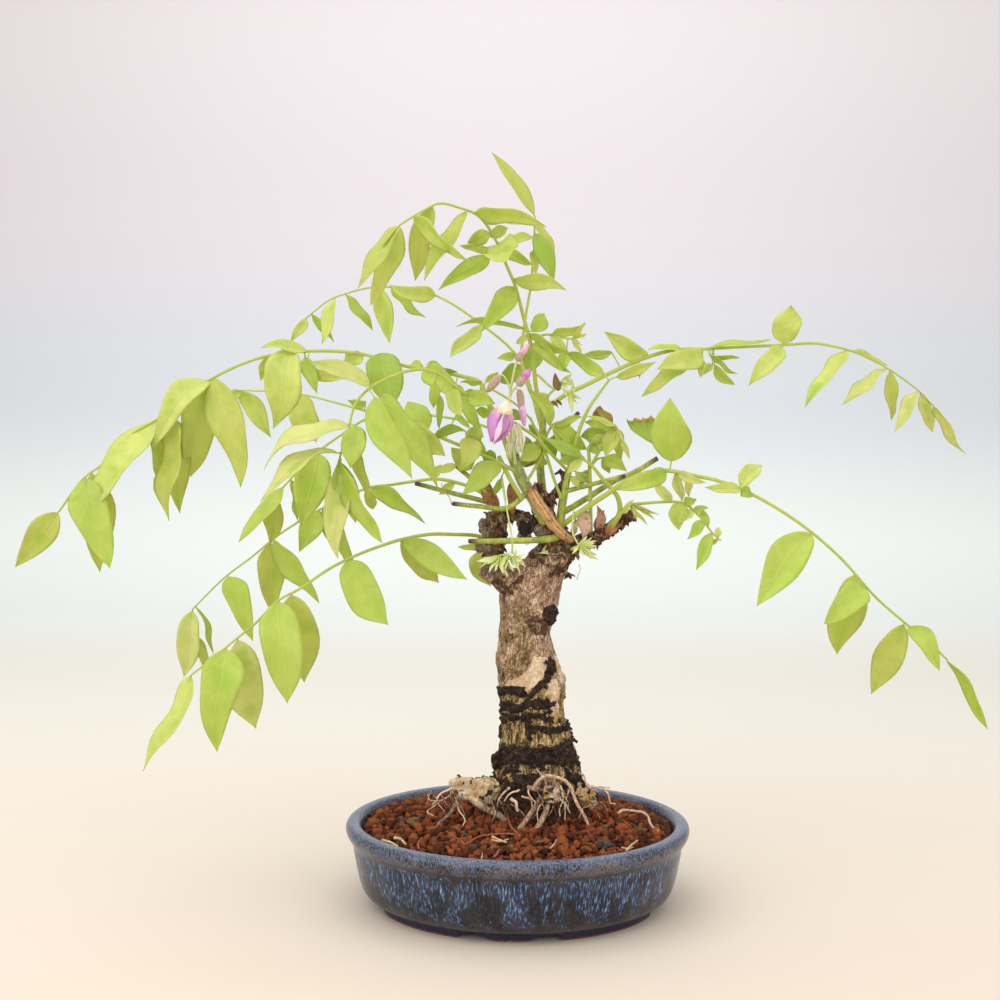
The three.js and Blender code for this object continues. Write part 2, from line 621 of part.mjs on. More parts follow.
// The trunk's outline: height, left edge, right edge and half depth.
const TRUNK_RINGS = [
  [32, -15, 33, 16], [52, -17, 40, 20], [66, -14.5, 38, 19], [78, -12.6, 35.5, 18],
  [89, -11.4, 31.8, 17.5], [102, -10, 27.8, 17], [119, -11.6, 26.6, 17], [134, -13.2, 24.4, 16.5],
  [144, -11, 20.6, 15.5], [152.6, -10.6, 17.6, 14.5], [160, -10.4, 21.4, 15], [172, -10.8, 22, 15],
  [181, -10, 23.8, 14.5], [189, -1, 27, 13], [197, 7, 32.5, 11], [207, 17, 29, 6],
];
const TRUNK_SIDES = 16;

function trunkColumn(grow) {
  const points = [];
  TRUNK_RINGS.forEach(([z, left, right, depth]) => {
    for (let k = 0; k < TRUNK_SIDES; k += 1) {
      const angle = (k / TRUNK_SIDES) * 2 * Math.PI;
      const ridge = 1 + 0.035 * Math.sin(5 * angle + z / 13) + 0.025 * Math.sin(9 * angle - z / 7);
      const x = (left + right) / 2 + ((right - left) / 2 + grow) * ridge * Math.cos(angle);
      points.push(new THREE.Vector3(x, (depth + grow) * ridge * Math.sin(angle), z - DROP));
    }
  });
  const rings = TRUNK_RINGS.length;
  const triangles = [];
  for (let i = 0; i < rings - 1; i += 1) {
    for (let k = 0; k < TRUNK_SIDES; k += 1) {
      const a = i * TRUNK_SIDES + k;
      const b = i * TRUNK_SIDES + (k + 1) % TRUNK_SIDES;
      triangles.push(a, b, a + TRUNK_SIDES, b, b + TRUNK_SIDES, a + TRUNK_SIDES);
    }
  }
  const [zLow, leftLow, rightLow] = TRUNK_RINGS[0];
  const [zHigh, leftHigh, rightHigh] = TRUNK_RINGS[rings - 1];
  const low = points.push(new THREE.Vector3((leftLow + rightLow) / 2, 0, zLow - grow - DROP)) - 1;
  const high = points.push(new THREE.Vector3((leftHigh + rightHigh) / 2, 0, zHigh + 1 - DROP)) - 1;
  for (let k = 0; k < TRUNK_SIDES; k += 1) {
    const next = (k + 1) % TRUNK_SIDES;
    triangles.push(low, next, k);
    triangles.push(high, (rings - 1) * TRUNK_SIDES + k, (rings - 1) * TRUNK_SIDES + next);
  }
  return solid(surface(points, triangles));
}

// Surface roots that leave the trunk's foot and dive into the soil.
const ROOTS = [
  [7.5, 4.2, [[-2, 72, 0], [-14, 68.5, -3], [-26, 66, -6], [-36.5, 60.5, -8]]],
  [6.5, 2.6, [[26, 69, 0], [33, 63, -7], [41, 57.5, -11], [49, 49, -13]]],
  [5, 4, [[12, 69, -12], [17, 63, -20], [20, 57, -22]]],
  [2.4, 1.9, [[-30, 61, -8], [-22.2, 56.2, -13], [-15.5, 52.2, -17], [-8.5, 47, -20], [-4, 42, -21]]],
  [2.1, 1.6, [[16, 62, -19], [13, 59, -22], [6.8, 50.3, -25.5], [0.4, 40.6, -29], [-3, 35, -30]]],
  [2.3, 1.8, [[18, 59, -20], [17.1, 55.4, -24], [13.9, 47.1, -28], [9.4, 39.3, -31], [6, 33, -32]]],
  [7, 2.8, [[2, 70, 12], [-10, 63, 22], [-20, 57, 31], [-30, 48, 38]]],
  [7, 2.6, [[18, 70, 12], [24, 64, 23], [33, 58, 32], [42, 50, 39]]],
];

function rootWork(grow) {
  return ROOTS.map((root) => drawnLimb(root, 5, grow, grow > 0 ? 0 : 0.05));
}

// Branches, snags, knobs, cut leaf stalks and the dry sheath, all grown from the trunk.
const WOOD = [
  [9, 6.5, [[6, 176, 0], [-4, 180, -1], [-12, 185, -1], [-19, 189, -2]]],
  [5, 6.4, [[-14, 186, 0], [-14, 196, 0], [-13.5, 208, 0], [-12.5, 218, 1]]],
  [2.6, 1.8, [[-14, 203, -2], [-19, 207, -3], [-21, 212, -3], [-19, 216, -2]]],
  [3.6, 2.6, [[-15, 199, -2], [-20, 200, -3], [-23, 202, -3], [-22, 197.5, -3]]],
  [2.8, 2.4, [[-12, 217, 0], [-3, 218, -1], [3, 216, -2], [11, 211, -1], [16, 205, 0]]],
  [3.8, 3, [[3.5, 217, -3], [3.2, 211, -4], [3.4, 205, -4]]],
  [5.6, 4.4, [[17, 205, -4], [11.5, 210, -5], [9, 212.5, -5]]],
  [5.4, 4.8, [[25, 203, -3], [17, 213, -5], [11, 222, -7], [6.5, 229, -8]]],
  [2.4, 1.2, [[19, 206, 3], [15.5, 220, 3], [13, 230, 2], [11, 238, 2]]],
  [1.8, 1.4, [[16, 219, 3], [18, 226, 4], [19.5, 233, 4]]],
  [4.6, 2.4, [
    [26, 200, 1], [35, 203, 0], [44, 206, -1], [52, 211.5, -2], [60, 217.5, -3], [63.5, 219, -3],
  ]],
  [2.2, 1.4, [[20, 187, -4], [25, 185.5, -5], [29, 183.8, -5]]],
  [2, 1.4, [[-13.5, 219, -3], [-14.5, 227, -4], [-19, 236.5, -5]]],
  [1.5, 1.3, [[20, 204, -12], [0, 203.4, -14], [-14, 203, -15], [-28.4, 202.8, -16]]],
  [1.4, 1.2, [[-14.5, 224, -4], [-21, 225.6, -8], [-40, 230.3, -12], [-58.5, 235, -15]]],
  [1.3, 1.2, [[-15, 227, -4], [-21, 232, -9], [-28, 238.5, -12], [-36, 245.2, -14]]],
];

// Dry bud scales and bracts: base u, v, tip u, v, depth, width and bow.
const SCALES = [
  [-3, 219, -4.5, 236, -2, 7, 0],
  [34, 204, 36, 220.5, -2, 7.5, 1],
  [45, 206, 43.5, 222, -2, 5, -2],
  [6, 228, 9, 236, -12, 4, 0],
];

function scales() {
  return SCALES.map(([u, v, tipU, tipV, depth, width, bow]) =>
    leaflet(place(u, v, depth), place(u, v, depth), place(tipU, tipV, depth - 3), width, bow));
}

// The living shoots, each a node of its own in a socket of the trunk.
const SHOOTS = [
  ['shoot_hairy', [
    [4.2, 2.2, [[10, 224, -7.5], [2, 236, -8], [-4, 248, -10], [-6, 256, -11]]],
    [1.5, 1.3, [[3, 229, -9], [7, 219.9, -13], [-15, 221.7, -15], [-37.6, 223.8, -16]]],
  ]],
  ['shoot_middle', [
    [2.6, 1.9, [[19, 204, 4], [14, 224, 5], [11.5, 245, 5], [12.5, 262, 5], [13, 279, 6]]],
    [1.4, 1.2, [[12.6, 256, 5], [21.5, 263.5, 1], [32.7, 275.3, -3]]],
  ]],
  ['shoot_right', [
    [2.7, 1.8, [[22.5, 206, -4], [23.5, 220, -5], [26, 236, -6], [27.8, 244, -6]]],
    [1.4, 1.2, [[25.2, 231, -6], [40, 235, -9], [59, 240, -12]]],
    [1.8, 1.4, [[24, 219, -4], [38, 227.5, 4], [52, 236.5, 9], [65, 242.5, 12], [77, 250, 14]]],
  ]],
];

// Young tufts, drawn like the leaves.
const TUFTS = [
  ['tuft_left', [
    [0.9, 0.6, [[-11, 188, -4], [-12, 193, -10], [-11, 195, -13]]],
  ], [
    [-12, 195, -24, 191.5, -3, 4, 1],
    [-11.5, 195, -6, 183, -5, 4.5, 0],
    [-11, 195, 0, 192, -2, 4, -1],
    [-12, 194.5, -17, 185, -6, 3, 0],
  ]],
  ['tuft_right', [
    [0.9, 0.6, [[28, 198, -5], [32, 200, -12], [34, 200.5, -14]]],
  ], [
    [33.5, 200.4, 43, 203.5, -3, 3, 0],
    [33.5, 200.4, 44.5, 193, -5, 3.4, 0],
    [33.5, 200.2, 41.5, 196.5, 2, 2.4, 0],
    [33, 200.2, 38, 206, -2, 2.4, 0],
  ]],
  ['tuft_silky', [
    [1.2, 0.7, [[-4.5, 253, -9.5], [-3, 258, -8], [-2.5, 260, -7.5]]],
  ], [
    [-3, 259, -4, 267.5, -2, 2.6, 0],
    [-2.7, 259, -0.5, 268, 2, 2.6, 0],
    [-3, 258, 2, 263, -2, 2.2, 0],
  ]],
];

// The flower spray: its stalks, and each calyx as a limb from its foot to its mouth.
const SPRAY_STALKS = [
  [0.9, 0.6, [[-2.5, 246, -12], [-4.5, 262, -19], [-6.5, 276, -22], [-6, 284, -22], [-4, 296, -21],
    [-2.2, 304.5, -20]]],
  [0.5, 0.5, [[-5.9, 284, -22], [-3.5, 288, -24], [-1.2, 290.8, -25]]],
  [0.5, 0.5, [[-5.6, 287, -22], [-8, 292.8, -23], [-11.8, 294.8, -23]]],
  [0.5, 0.5, [[-6, 283, -22], [-3.2, 288.5, -20], [-0.6, 287.6, -19]]],
  [0.7, 0.7, [[-6.4, 277, -22], [-7, 280, -25], [-8, 280.5, -27]]],
];
const CALYX_SHARE = 0.5;
const BUDS = [
  ['petals_first_bud', -2.3, 304, 4.4, 313.4, -20, 2.1],
  ['petals_second_bud', -1.5, 290.2, 5.4, 299.4, -25, 2.8],
  ['petals_hanging_bud', -0.6, 288, 2.4, 267.5, -19, 2.3],
  ['', -11.4, 295.8, -18.8, 286.5, -23, 2.5],
];
const OPEN_FLOWER = [-7.6, 281.5, -9.2, 275, -27, 4];
const PETALS = [
  [-9.6, 278, -16.8, 257.8, -4, 7.5, -2.6],
  [-7.6, 277.5, -14.6, 257.2, -4, 7.5, 4],
  [-8.8, 277, -15.2, 257.3, -8, 6, 0],
  [-8.2, 277, -12.2, 259.5, -9, 7, 2],
  [-8.9, 277, -13.4, 258.5, 3, 12, 0.5],
];

// A spindle from one drawn place to another, fattest part-way, or cut off at a share of its length.
function spindle(u, v, tipU, tipV, depth, radius, from, to, grow = 0) {
  const shares = [0, 0.12, 0.35, 0.6, 0.85, 1];
  const girths = [0.35, 0.8, 1, 0.95, 0.7, 0.3];
  const foot = place(u, v, depth);
  const tip = place(tipU, tipV, depth);
  const stretch = (s) => foot.clone().lerp(tip, THREE.MathUtils.lerp(from, to, s));
  return limb(shares.map(stretch), girths.map((g) => g * radius + grow), 6, 5);
}

function calyx([u, v, tipU, tipV, depth, radius]) {
  return spindle(u, v, tipU, tipV, depth, radius, 0, 1);
}

function budCalyx([, u, v, tipU, tipV, depth, radius]) {
  return spindle(u, v, tipU, tipV, depth, radius, 0, CALYX_SHARE + 0.1);
}

function budPetals([, u, v, tipU, tipV, depth, radius], grow = 0) {
  return spindle(u, v, tipU, tipV, depth, radius * 0.68, CALYX_SHARE - 0.1, 1, grow);
}

function flowerStalk(shoots) {
  let body = joined([
    ...SPRAY_STALKS.map((stalk) => drawnLimb(stalk, 3)),
    ...BUDS.map(budCalyx),
    calyx(OPEN_FLOWER),
  ]);
  BUDS.filter(([name]) => name).forEach((bud) => { body = body.subtract(budPetals(bud, CLEARANCE)); });
  return largest(cutClear(body, shoots));
}

function openPetals() {
  const [, , , , depth] = OPEN_FLOWER;
  const blades = PETALS.map(([u, v, tipU, tipV, lean, width, bow]) =>
    leaflet(place(u, v, depth), place(u, v, depth), place(tipU, tipV, depth + lean), width, bow));
  const [u, v, tipU, tipV, , radius] = OPEN_FLOWER;
  return largest(joined(blades).subtract(spindle(u, v, tipU, tipV, depth, radius, 0, 1, CLEARANCE)));
}

function largest(body) {
  return body.decompose().reduce((a, b) => (b.volume() > a.volume() ? b : a));
}

function cutClear(body, others) {
  return others.reduce((rest, other) => rest.subtract(other), body);
}

// The soil fills the pot up to a low mound of granules round the trunk.
const SOIL_SIDE = [[0, 10.35], [69.5, 10.35], [78.5, 12.3], [84.75, 24.2], [86.1, 42.6]];
const SOIL_RINGS = 10;
const MOUND_X = 9;

function granules(x, y) {
  const heaps = Math.sin(1.13 * x + 0.7 * y) * Math.sin(0.9 * y - 0.5 * x);
  return 0.9 * heaps + 0.5 * Math.sin(2.1 * x - 1.7 * y);
}

function soilHeight(x, y) {
  const away = Math.hypot((x - MOUND_X) / 52, y / 44);
  return SOIL_LEVEL + MOUND_HEIGHT * Math.exp(-away * away) + granules(x, y);
}

function soilBody() {
  const rings = SOIL_SIDE.slice(1).map(([radius, z]) => [radius, () => z]);
  for (let i = 1; i < SOIL_RINGS; i += 1) {
    rings.push([85 * (1 - i / SOIL_RINGS), soilHeight]);
  }
  const points = [];
  rings.forEach(([radius, height]) => {
    for (let k = 0; k < POT_SEGMENTS; k += 1) {
      const angle = (k / POT_SEGMENTS) * 2 * Math.PI;
      const x = radius * Math.sin(angle);
      const y = radius * Math.cos(angle) * squeeze(radius);
      points.push(new THREE.Vector3(x, y, height(x, y)));
    }
  });
  const triangles = [];
  for (let i = 0; i < rings.length - 1; i += 1) {
    for (let k = 0; k < POT_SEGMENTS; k += 1) {
      const a = i * POT_SEGMENTS + k;
      const b = i * POT_SEGMENTS + (k + 1) % POT_SEGMENTS;
      triangles.push(b, a, a + POT_SEGMENTS, b, a + POT_SEGMENTS, b + POT_SEGMENTS);
    }
  }
  const low = points.push(new THREE.Vector3(0, 0, SOIL_SIDE[0][1])) - 1;
  const high = points.push(new THREE.Vector3(0, 0, soilHeight(0, 0))) - 1;
  const lastRing = (rings.length - 1) * POT_SEGMENTS;
  for (let k = 0; k < POT_SEGMENTS; k += 1) {
    const next = (k + 1) % POT_SEGMENTS;
    triangles.push(low, k, next);
    triangles.push(high, lastRing + next, lastRing + k);
  }
  const hollows = [trunkColumn(CLEARANCE + 0.1), ...rootWork(CLEARANCE + 0.15)];
  [-1, 1].forEach((s) => hollows.push(box(MESH_SIZE + 1, MESH_SIZE + 1, 4, s * DRAIN_OFFSET, 0, 9.8)));
  return largest(cutClear(solid(surface(points, triangles)), hollows));
}

// Everything is built where it stands, and each node is cut clear of what it is seated in.
const bonsai = new THREE.Group();
const put = (name, body, material) => bonsai.add(named(name, body, material));

const shootsGrown = SHOOTS.flatMap(([, stalks]) => stalks.map((stalk) => drawnLimb(stalk, 6, CLEARANCE)));
const leaves = [...FRONDS, ...TUFTS];

put('pot', potBody(), glaze);
put('drain_mesh_left', drainMesh(-DRAIN_OFFSET), plastic);
put('drain_mesh_right', drainMesh(DRAIN_OFFSET), plastic);
put('soil', soilBody(), clay);

const leafFeet = leaves.map(([, stalks]) => drawnLimb(stalks[0], 3, 2 * CLEARANCE));
const wood = joined([
  trunkColumn(0),
  ...rootWork(0),
  ...WOOD.map((branch) => drawnLimb(branch, 5, 0, 0.05)),
  ...scales(),
]);
put('trunk', largest(cutClear(wood, [...shootsGrown, ...leafFeet])), bark);

SHOOTS.forEach(([name, stalks]) => {
  put(name, joined(stalks.map((stalk) => drawnLimb(stalk, 6))), shootGreen);
});
leaves.forEach((frond) => {
  const material = frond[0] === 'tuft_silky' ? silky : leafGreen;
  put(frond[0], largest(cutClear(leaf(frond), shootsGrown)), material);
});
put('flower_stalk', flowerStalk(shootsGrown), calyxBrown);
put('petals_open_flower', openPetals(), lilac);
BUDS.filter(([name]) => name).forEach((bud) => put(bud[0], budPetals(bud), lilac));

// The origin is the middle of the whole thing, down on the table.
const middle = new THREE.Box3().setFromObject(bonsai).getCenter(new THREE.Vector3());
bonsai.position.set(-middle.x, -middle.y, 0);

export default bonsai;
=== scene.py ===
import math
import random

import bmesh
import bpy
import numpy as np
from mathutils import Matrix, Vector, noise


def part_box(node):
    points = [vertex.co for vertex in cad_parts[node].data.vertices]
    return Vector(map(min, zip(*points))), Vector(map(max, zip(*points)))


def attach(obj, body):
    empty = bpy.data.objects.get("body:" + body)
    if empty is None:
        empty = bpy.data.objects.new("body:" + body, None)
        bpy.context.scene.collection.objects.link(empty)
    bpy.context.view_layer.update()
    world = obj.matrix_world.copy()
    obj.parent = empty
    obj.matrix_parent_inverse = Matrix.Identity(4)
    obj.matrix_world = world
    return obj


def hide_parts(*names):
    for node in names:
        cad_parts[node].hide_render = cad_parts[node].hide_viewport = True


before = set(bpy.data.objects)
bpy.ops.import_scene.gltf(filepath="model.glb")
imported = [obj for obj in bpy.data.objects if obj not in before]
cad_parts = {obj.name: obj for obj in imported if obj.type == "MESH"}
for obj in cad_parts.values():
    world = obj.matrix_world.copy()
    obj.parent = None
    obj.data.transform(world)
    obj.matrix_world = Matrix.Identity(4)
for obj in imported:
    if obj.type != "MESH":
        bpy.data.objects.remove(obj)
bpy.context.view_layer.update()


# The view. The plant was drawn in millimetres about the middle of its pot, as it is seen from one
# place in front of it, level and a little left of the trunk. The camera stands there.
MM = 0.001
EYE = np.array([-11.0, -630.0, 223.8])
EYE_LEVEL_DRAWN = 226
CAMERA_ROLL = -0.4
pot_low, pot_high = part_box("pot")
POT_CENTRE = np.array([(pot_low.x + pot_high.x) / 2, (pot_low.y + pot_high.y) / 2, 0])


def link_object(name, data):
    made = bpy.data.objects.new(name, data)
    bpy.context.scene.collection.objects.link(made)
    return made


camera_data = bpy.data.cameras.new("camera")
camera_data.lens = 40.46
camera_data.sensor_width = 36
camera_data.clip_end = 20
camera = link_object("camera", camera_data)
camera.location = POT_CENTRE + EYE * MM
camera.rotation_euler = (math.radians(90), math.radians(CAMERA_ROLL), 0)
bpy.context.scene.camera = camera
bpy.context.scene.view_settings.view_transform = "Standard"


def place(u, v, depth):
    """Where a drawn point (u, v) is, once it has slid along its line from the eye by depth."""
    spread = 1 + depth / -EYE[1]
    return np.array([EYE[0] + (u - EYE[0]) * spread, depth, EYE[2] + (v - EYE_LEVEL_DRAWN) * spread])


def seen(points):
    """Where points are seen on the drawing, as their u and their v."""
    points = np.asarray(points, float)
    spread = 1 - points[..., 1] / EYE[1]
    return (EYE[0] + (points[..., 0] - EYE[0]) / spread,
            EYE_LEVEL_DRAWN + (points[..., 2] - EYE[2]) / spread)


# The studio: a pale floor that runs up behind as one sweep, warm below and cool above, with a large
# soft light overhead, a softer one from each side and an even pale surround.
FLOOR_WIDTH = 6
FLOOR_FRONT = -3
FLOOR_BACK = 1.6
SWEEP_RADIUS = 0.7
SWEEP_TOP = 3.2
SWEEP_STEPS = 15


class Wire:
    """One output of a material's nodes. Arithmetic with it adds Math nodes."""

    def __init__(self, tree, socket=None):
        self.tree = tree
        self.socket = socket

    def node(self, kind, settings=(), sockets=(), output=0):
        """An output of a new node with these settings, and these values or links in its sockets."""
        made = self.tree.nodes.new("ShaderNode" + kind)
        for name, value in dict(settings).items():
            setattr(made, name, value)
        for name, value in dict(sockets).items():
            if isinstance(value, Wire):
                self.tree.links.new(value.socket, made.inputs[name])
            else:
                made.inputs[name].default_value = value
        return Wire(self.tree, made.outputs[output])

    def math(self, operation, *values):
        return self.node("Math", {"operation": operation}, dict(enumerate(values)))

    def __add__(self, other):
        return self.math("ADD", self, other)

    def __sub__(self, other):
        return self.math("SUBTRACT", self, other)

    def __rsub__(self, other):
        return self.math("SUBTRACT", other, self)

    def __mul__(self, other):
        return self.math("MULTIPLY", self, other)

    __radd__ = __add__
    __rmul__ = __mul__

    def step(self, low, high):
        """0 below low and 1 above high, with a soft change between."""
        return self.node("MapRange", {"interpolation_type": "SMOOTHSTEP"}, {0: self, 1: low, 2: high})

    def blend(self, first, second, kind="MIX"):
        """The first colour where this mask is 0 and the second where it is 1."""
        settings = {"data_type": "RGBA", "blend_type": kind}
        return self.node("Mix", settings, {0: self, 6: first, 7: second}, 2)

    def shades(self, low, high, first, second):
        """From the first colour, given as a screen shows it, to the second between low and high."""
        return self.step(low, high).blend(rgb(*first), rgb(*second))

    def noise(self, scale, detail=3, roughness=0.55):
        """Cloudy noise at this place, with so many lumps to a metre."""
        return self.node("TexNoise", {}, {
            "Vector": self, "Scale": scale, "Detail": detail, "Roughness": roughness})

    def stretched(self, x, y, z):
        """This place with each direction scaled."""
        return self.node("VectorMath", {"operation": "MULTIPLY"}, {0: self, 1: (x, y, z)})

    def part(self, index):
        return self.node("SeparateXYZ", {}, {0: self}, index)

    def attribute(self, name):
        """The three numbers that the points of a mesh carry under a name."""
        return self.node("Attribute", {"attribute_name": name}, output=1)


def new_material(name):
    """A material, a wire to start its nodes from, and the place in metres on the object."""
    material = bpy.data.materials.new(name)
    material.use_nodes = True
    material.node_tree.nodes.clear()
    start = Wire(material.node_tree)
    return material, start, start.node("TexCoord", output=3)


def finish_with(start, shader):
    end = start.tree.nodes.new("ShaderNodeOutputMaterial")
    start.tree.links.new(shader.socket, end.inputs["Surface"])


def principled(start, colour, roughness, height=None, depth=0.0, **sockets):
    """The shader of a surface, with a bump so many metres deep where a height is given."""
    given = {"Base Color": colour, "Roughness": roughness}
    given.update({name.replace("_", " "): value for name, value in sockets.items()})
    if height is not None:
        given["Normal"] = start.node("Bump", {}, {"Height": height, "Distance": depth})
    return start.node("BsdfPrincipled", {}, given)


def rgb(red, green, blue):
    """A colour from 0 to 255, as a screen shows it, in the values that a shader takes."""
    return (*(((c / 255 + 0.055) / 1.055) ** 2.4 for c in (red, green, blue)), 1)


sweep = [(FLOOR_FRONT, 0), (FLOOR_BACK, 0)]
sweep += [(FLOOR_BACK + SWEEP_RADIUS * math.sin(a), SWEEP_RADIUS * (1 - math.cos(a)))
          for a in np.linspace(0, math.pi / 2, SWEEP_STEPS + 1)[1:]]
sweep.append((FLOOR_BACK + SWEEP_RADIUS, SWEEP_TOP))
floor_points = [(x, y, z) for y, z in sweep for x in (-FLOOR_WIDTH / 2, FLOOR_WIDTH / 2)]
floor_faces = [(i, i + 1, i + 3, i + 2) for i in range(0, 2 * len(sweep) - 2, 2)]
floor_mesh = bpy.data.meshes.new("studio_floor")
floor_mesh.from_pydata(floor_points, [], floor_faces)
floor_mesh.shade_smooth()
studio_floor = link_object("studio_floor", floor_mesh)
floor_paper, start, where = new_material("floor_paper")
position = start.node("NewGeometry")
rise = position.part(2)
paper = rgb(224, 209, 193)
# Painted light and shade: the paper grows lighter towards the back and at the foot of the sweep, darker
# again in its lower curve, and lighter above that.
for way, start_at, end_at, tone in [
    (position.part(1), -0.35, 0.7, rgb(221, 219, 210)), (position.part(1), 0.7, 1.7, rgb(236, 243, 241)),
    (rise, 0, 0.12, rgb(238, 244, 242)), (rise, 0.1, 0.5, rgb(217, 222, 230)),
    (rise, 0.5, 1, rgb(229, 222, 230)), (rise, 1, 1.5, rgb(234, 228, 235)),
]:
    paper = way.step(start_at, end_at).blend(paper, tone)
finish_with(start, principled(start, paper, 0.9))
floor_mesh.materials.append(floor_paper)

surround = bpy.data.worlds.new("surround")
bpy.context.scene.world = surround
surround.use_nodes = True
background = surround.node_tree.nodes["Background"]
background.inputs["Color"].default_value = rgb(253, 250, 244)
background.inputs["Strength"].default_value = 0.7

# Each light: its name, where it hangs, what it points at, its width and its power in watts.
for name, spot, aim, size, power in [
    ("overhead_light", (-0.3, -0.4, 1.5), (0, 0, 0.15), 2, 16),
    ("left_light", (-1.3, -1.1, 0.8), (0, 0, 0.2), 1.7, 11),
    ("right_light", (1.3, -0.9, 0.7), (0, 0, 0.2), 1.8, 9),
    ("backdrop_light", (0, 0.7, 1.9), (0, 2.3, 0.9), 1.6, 9),
]:
    light_data = bpy.data.lights.new(name, "AREA")
    light_data.size = size
    light_data.energy = power
    light = link_object(name, light_data)
    light.location = spot
    light.rotation_euler = (Vector(aim) - Vector(spot)).to_track_quat("-Z", "Y").to_euler()


# The pot: a slip-cast oval bowl in dark stoneware with a rolled lip and a notched foot ring. The
# glaze is nearly black where it is thin and breaks into fine running blue streaks down the wall.
POT_HALF_WIDTH = 96
POT_HALF_DEPTH = 82
DEPTH_TAPER = 1.15
FLATTEST = 0.77
POT_TOP = 46
POT_SEGMENTS = 640
FLOOR_LEVEL = 4.5
NOTCH_SHIFT = -4.8
NOTCH_INNER = 5
NOTCH_SLOPE = 12.5
NOTCH_OUTER = 27.5
NOTCH_STEEP = 3
NOTCH_HEIGHT = 3.3
NICK_RADIUS = 1.5
RING_INNER = 60
BARE_BELOW = 0.4
DRAIN_OFFSET = 30
DRAIN_RADIUS = 8
DRILL_ENDS = (2, 14)
DRILL_SIDES = 48
POT_OUTLINE = [
    (0, 4.5), (30, 4.5), (60, 4.5), (70.6, 4.5), (71.3, 3.6), (71.7, 1.2), (72.2, 0.2), (73, 0), (75, 0),
    (77.2, 0), (78, 0.25), (78.4, 1.2), (78.8, 3.2), (79.2, 4.4), (80, 5.2), (82, 6), (84.2, 7.5), (86, 10),
    (87.5, 13.8), (88.9, 19), (90, 24.5), (91, 30), (91.4, 33), (91.8, 34.6), (92.5, 36), (93.5, 37.4),
    (94.4, 38.8), (95.1, 40.4), (95.5, 42), (95.4, 43.4), (94.9, 44.6), (93.9, 45.5), (92.5, 46),
    (90.6, 46), (88.8, 45.5), (87.5, 44.3), (86.7, 42.6), (86.3, 39), (85.8, 32), (85.1, 24), (83, 17.6),
    (79.5, 12.4), (76.5, 10.6), (70, 10), (50, 10), (25, 10), (0, 10),
]


def smooth_line(points, steps):
    """A line through the points that turns smoothly at each, with so many steps to a span."""
    known = np.asarray(points, float)
    known = np.vstack([2 * known[0] - known[1], known, 2 * known[-1] - known[-2]])
    line = []
    for a, b, c, d in zip(known, known[1:], known[2:], known[3:]):
        tb = max(np.linalg.norm(b - a) ** 0.5, 1e-4)
        tc = tb + max(np.linalg.norm(c - b) ** 0.5, 1e-4)
        td = tc + max(np.linalg.norm(d - c) ** 0.5, 1e-4)
        for t in np.linspace(tb, tc, steps, endpoint=False):
            ab = (tb - t) / tb * a + t / tb * b
            bc = (tc - t) / (tc - tb) * b + (t - tb) / (tc - tb) * c
            cd = (td - t) / (td - tc) * c + (t - tc) / (td - tc) * d
            abc = (tc - t) / tc * ab + t / tc * bc
            bcd = (td - t) / (td - tb) * bc + (t - tb) / (td - tb) * cd
            line.append((tc - t) / (tc - tb) * abc + (t - tb) / (tc - tb) * bcd)
    line.append(known[-2])
    return np.array(line)


def ring_faces(rings, sides):
    """The faces between rings of points that follow each other up a round skin."""
    return [(start + k, start + (k + 1) % sides, start + sides + (k + 1) % sides, start + sides + k)
            for start in range(0, (rings - 1) * sides, sides) for k in range(sides)]


def end_faces(rings, sides):
    """The two flat faces that close such a skin."""
    return [list(range(sides - 1, -1, -1)), list(range((rings - 1) * sides, rings * sides))]


def round_angles(sides):
    return [k / sides * 2 * math.pi for k in range(sides)]


class Skin:
    """The points, faces and marks of one piece, gathered from closed skins, in millimetres."""

    def __init__(self):
        self.points = []
        self.faces = []
        self.marks = {}
        self.count = 0

    def add(self, points, faces, **marks):
        """Each mark is a list of three numbers for each point, or one such list for all."""
        self.points.append(np.asarray(points, float))
        self.faces += [[i + self.count for i in face] for face in faces]
        self.count += len(points)
        for name, values in marks.items():
            rows = np.broadcast_to(np.asarray(values, float), (len(points), 3))
            self.marks.setdefault(name, []).append(rows)

    def mesh(self, name):
        mesh = bpy.data.meshes.new(name)
        mesh.from_pydata((np.vstack(self.points) * MM + POT_CENTRE).tolist(), [], self.faces)
        for mark, rows in self.marks.items():
            attribute = mesh.attributes.new(mark, "FLOAT_VECTOR", "POINT")
            attribute.data.foreach_set("vector", np.vstack(rows).astype(np.float32).ravel())
        mesh.shade_smooth()
        return mesh


def stand_in(name, shape, material, slot, *nodes):
    """Puts a piece on the part's one body, for the CAD nodes that it stands for."""
    mesh = shape.mesh(name) if isinstance(shape, Skin) else shape
    made = link_object(name, mesh)
    mesh.materials.append(material)
    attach(made, "root")
    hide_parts(*nodes)
    return made


def squeeze(radius):
    """How much the bowl is flattened from front to back at a radius. It tapers more that way."""
    half_depth = POT_HALF_DEPTH - DEPTH_TAPER * (POT_HALF_WIDTH - radius)
    return max(FLATTEST, half_depth / max(radius, 1))


def eased(share):
    share = min(1, max(0, share))
    return share * share * (3 - 2 * share)


def notch_lift(x, y):
    """How far the notches lift the foot ring's edge at a place: steep outside, sloping within."""
    in_front = abs(y) / POT_HALF_DEPTH > abs(x) / POT_HALF_WIDTH
    along = abs(x - NOTCH_SHIFT if in_front else y)
    lift = eased((NOTCH_OUTER - along) / NOTCH_STEEP) * eased((along - NOTCH_INNER) / NOTCH_SLOPE)
    lift *= NOTCH_HEIGHT
    if in_front and along < NICK_RADIUS:
        lift = math.sqrt(NICK_RADIUS ** 2 - along ** 2)
    return lift


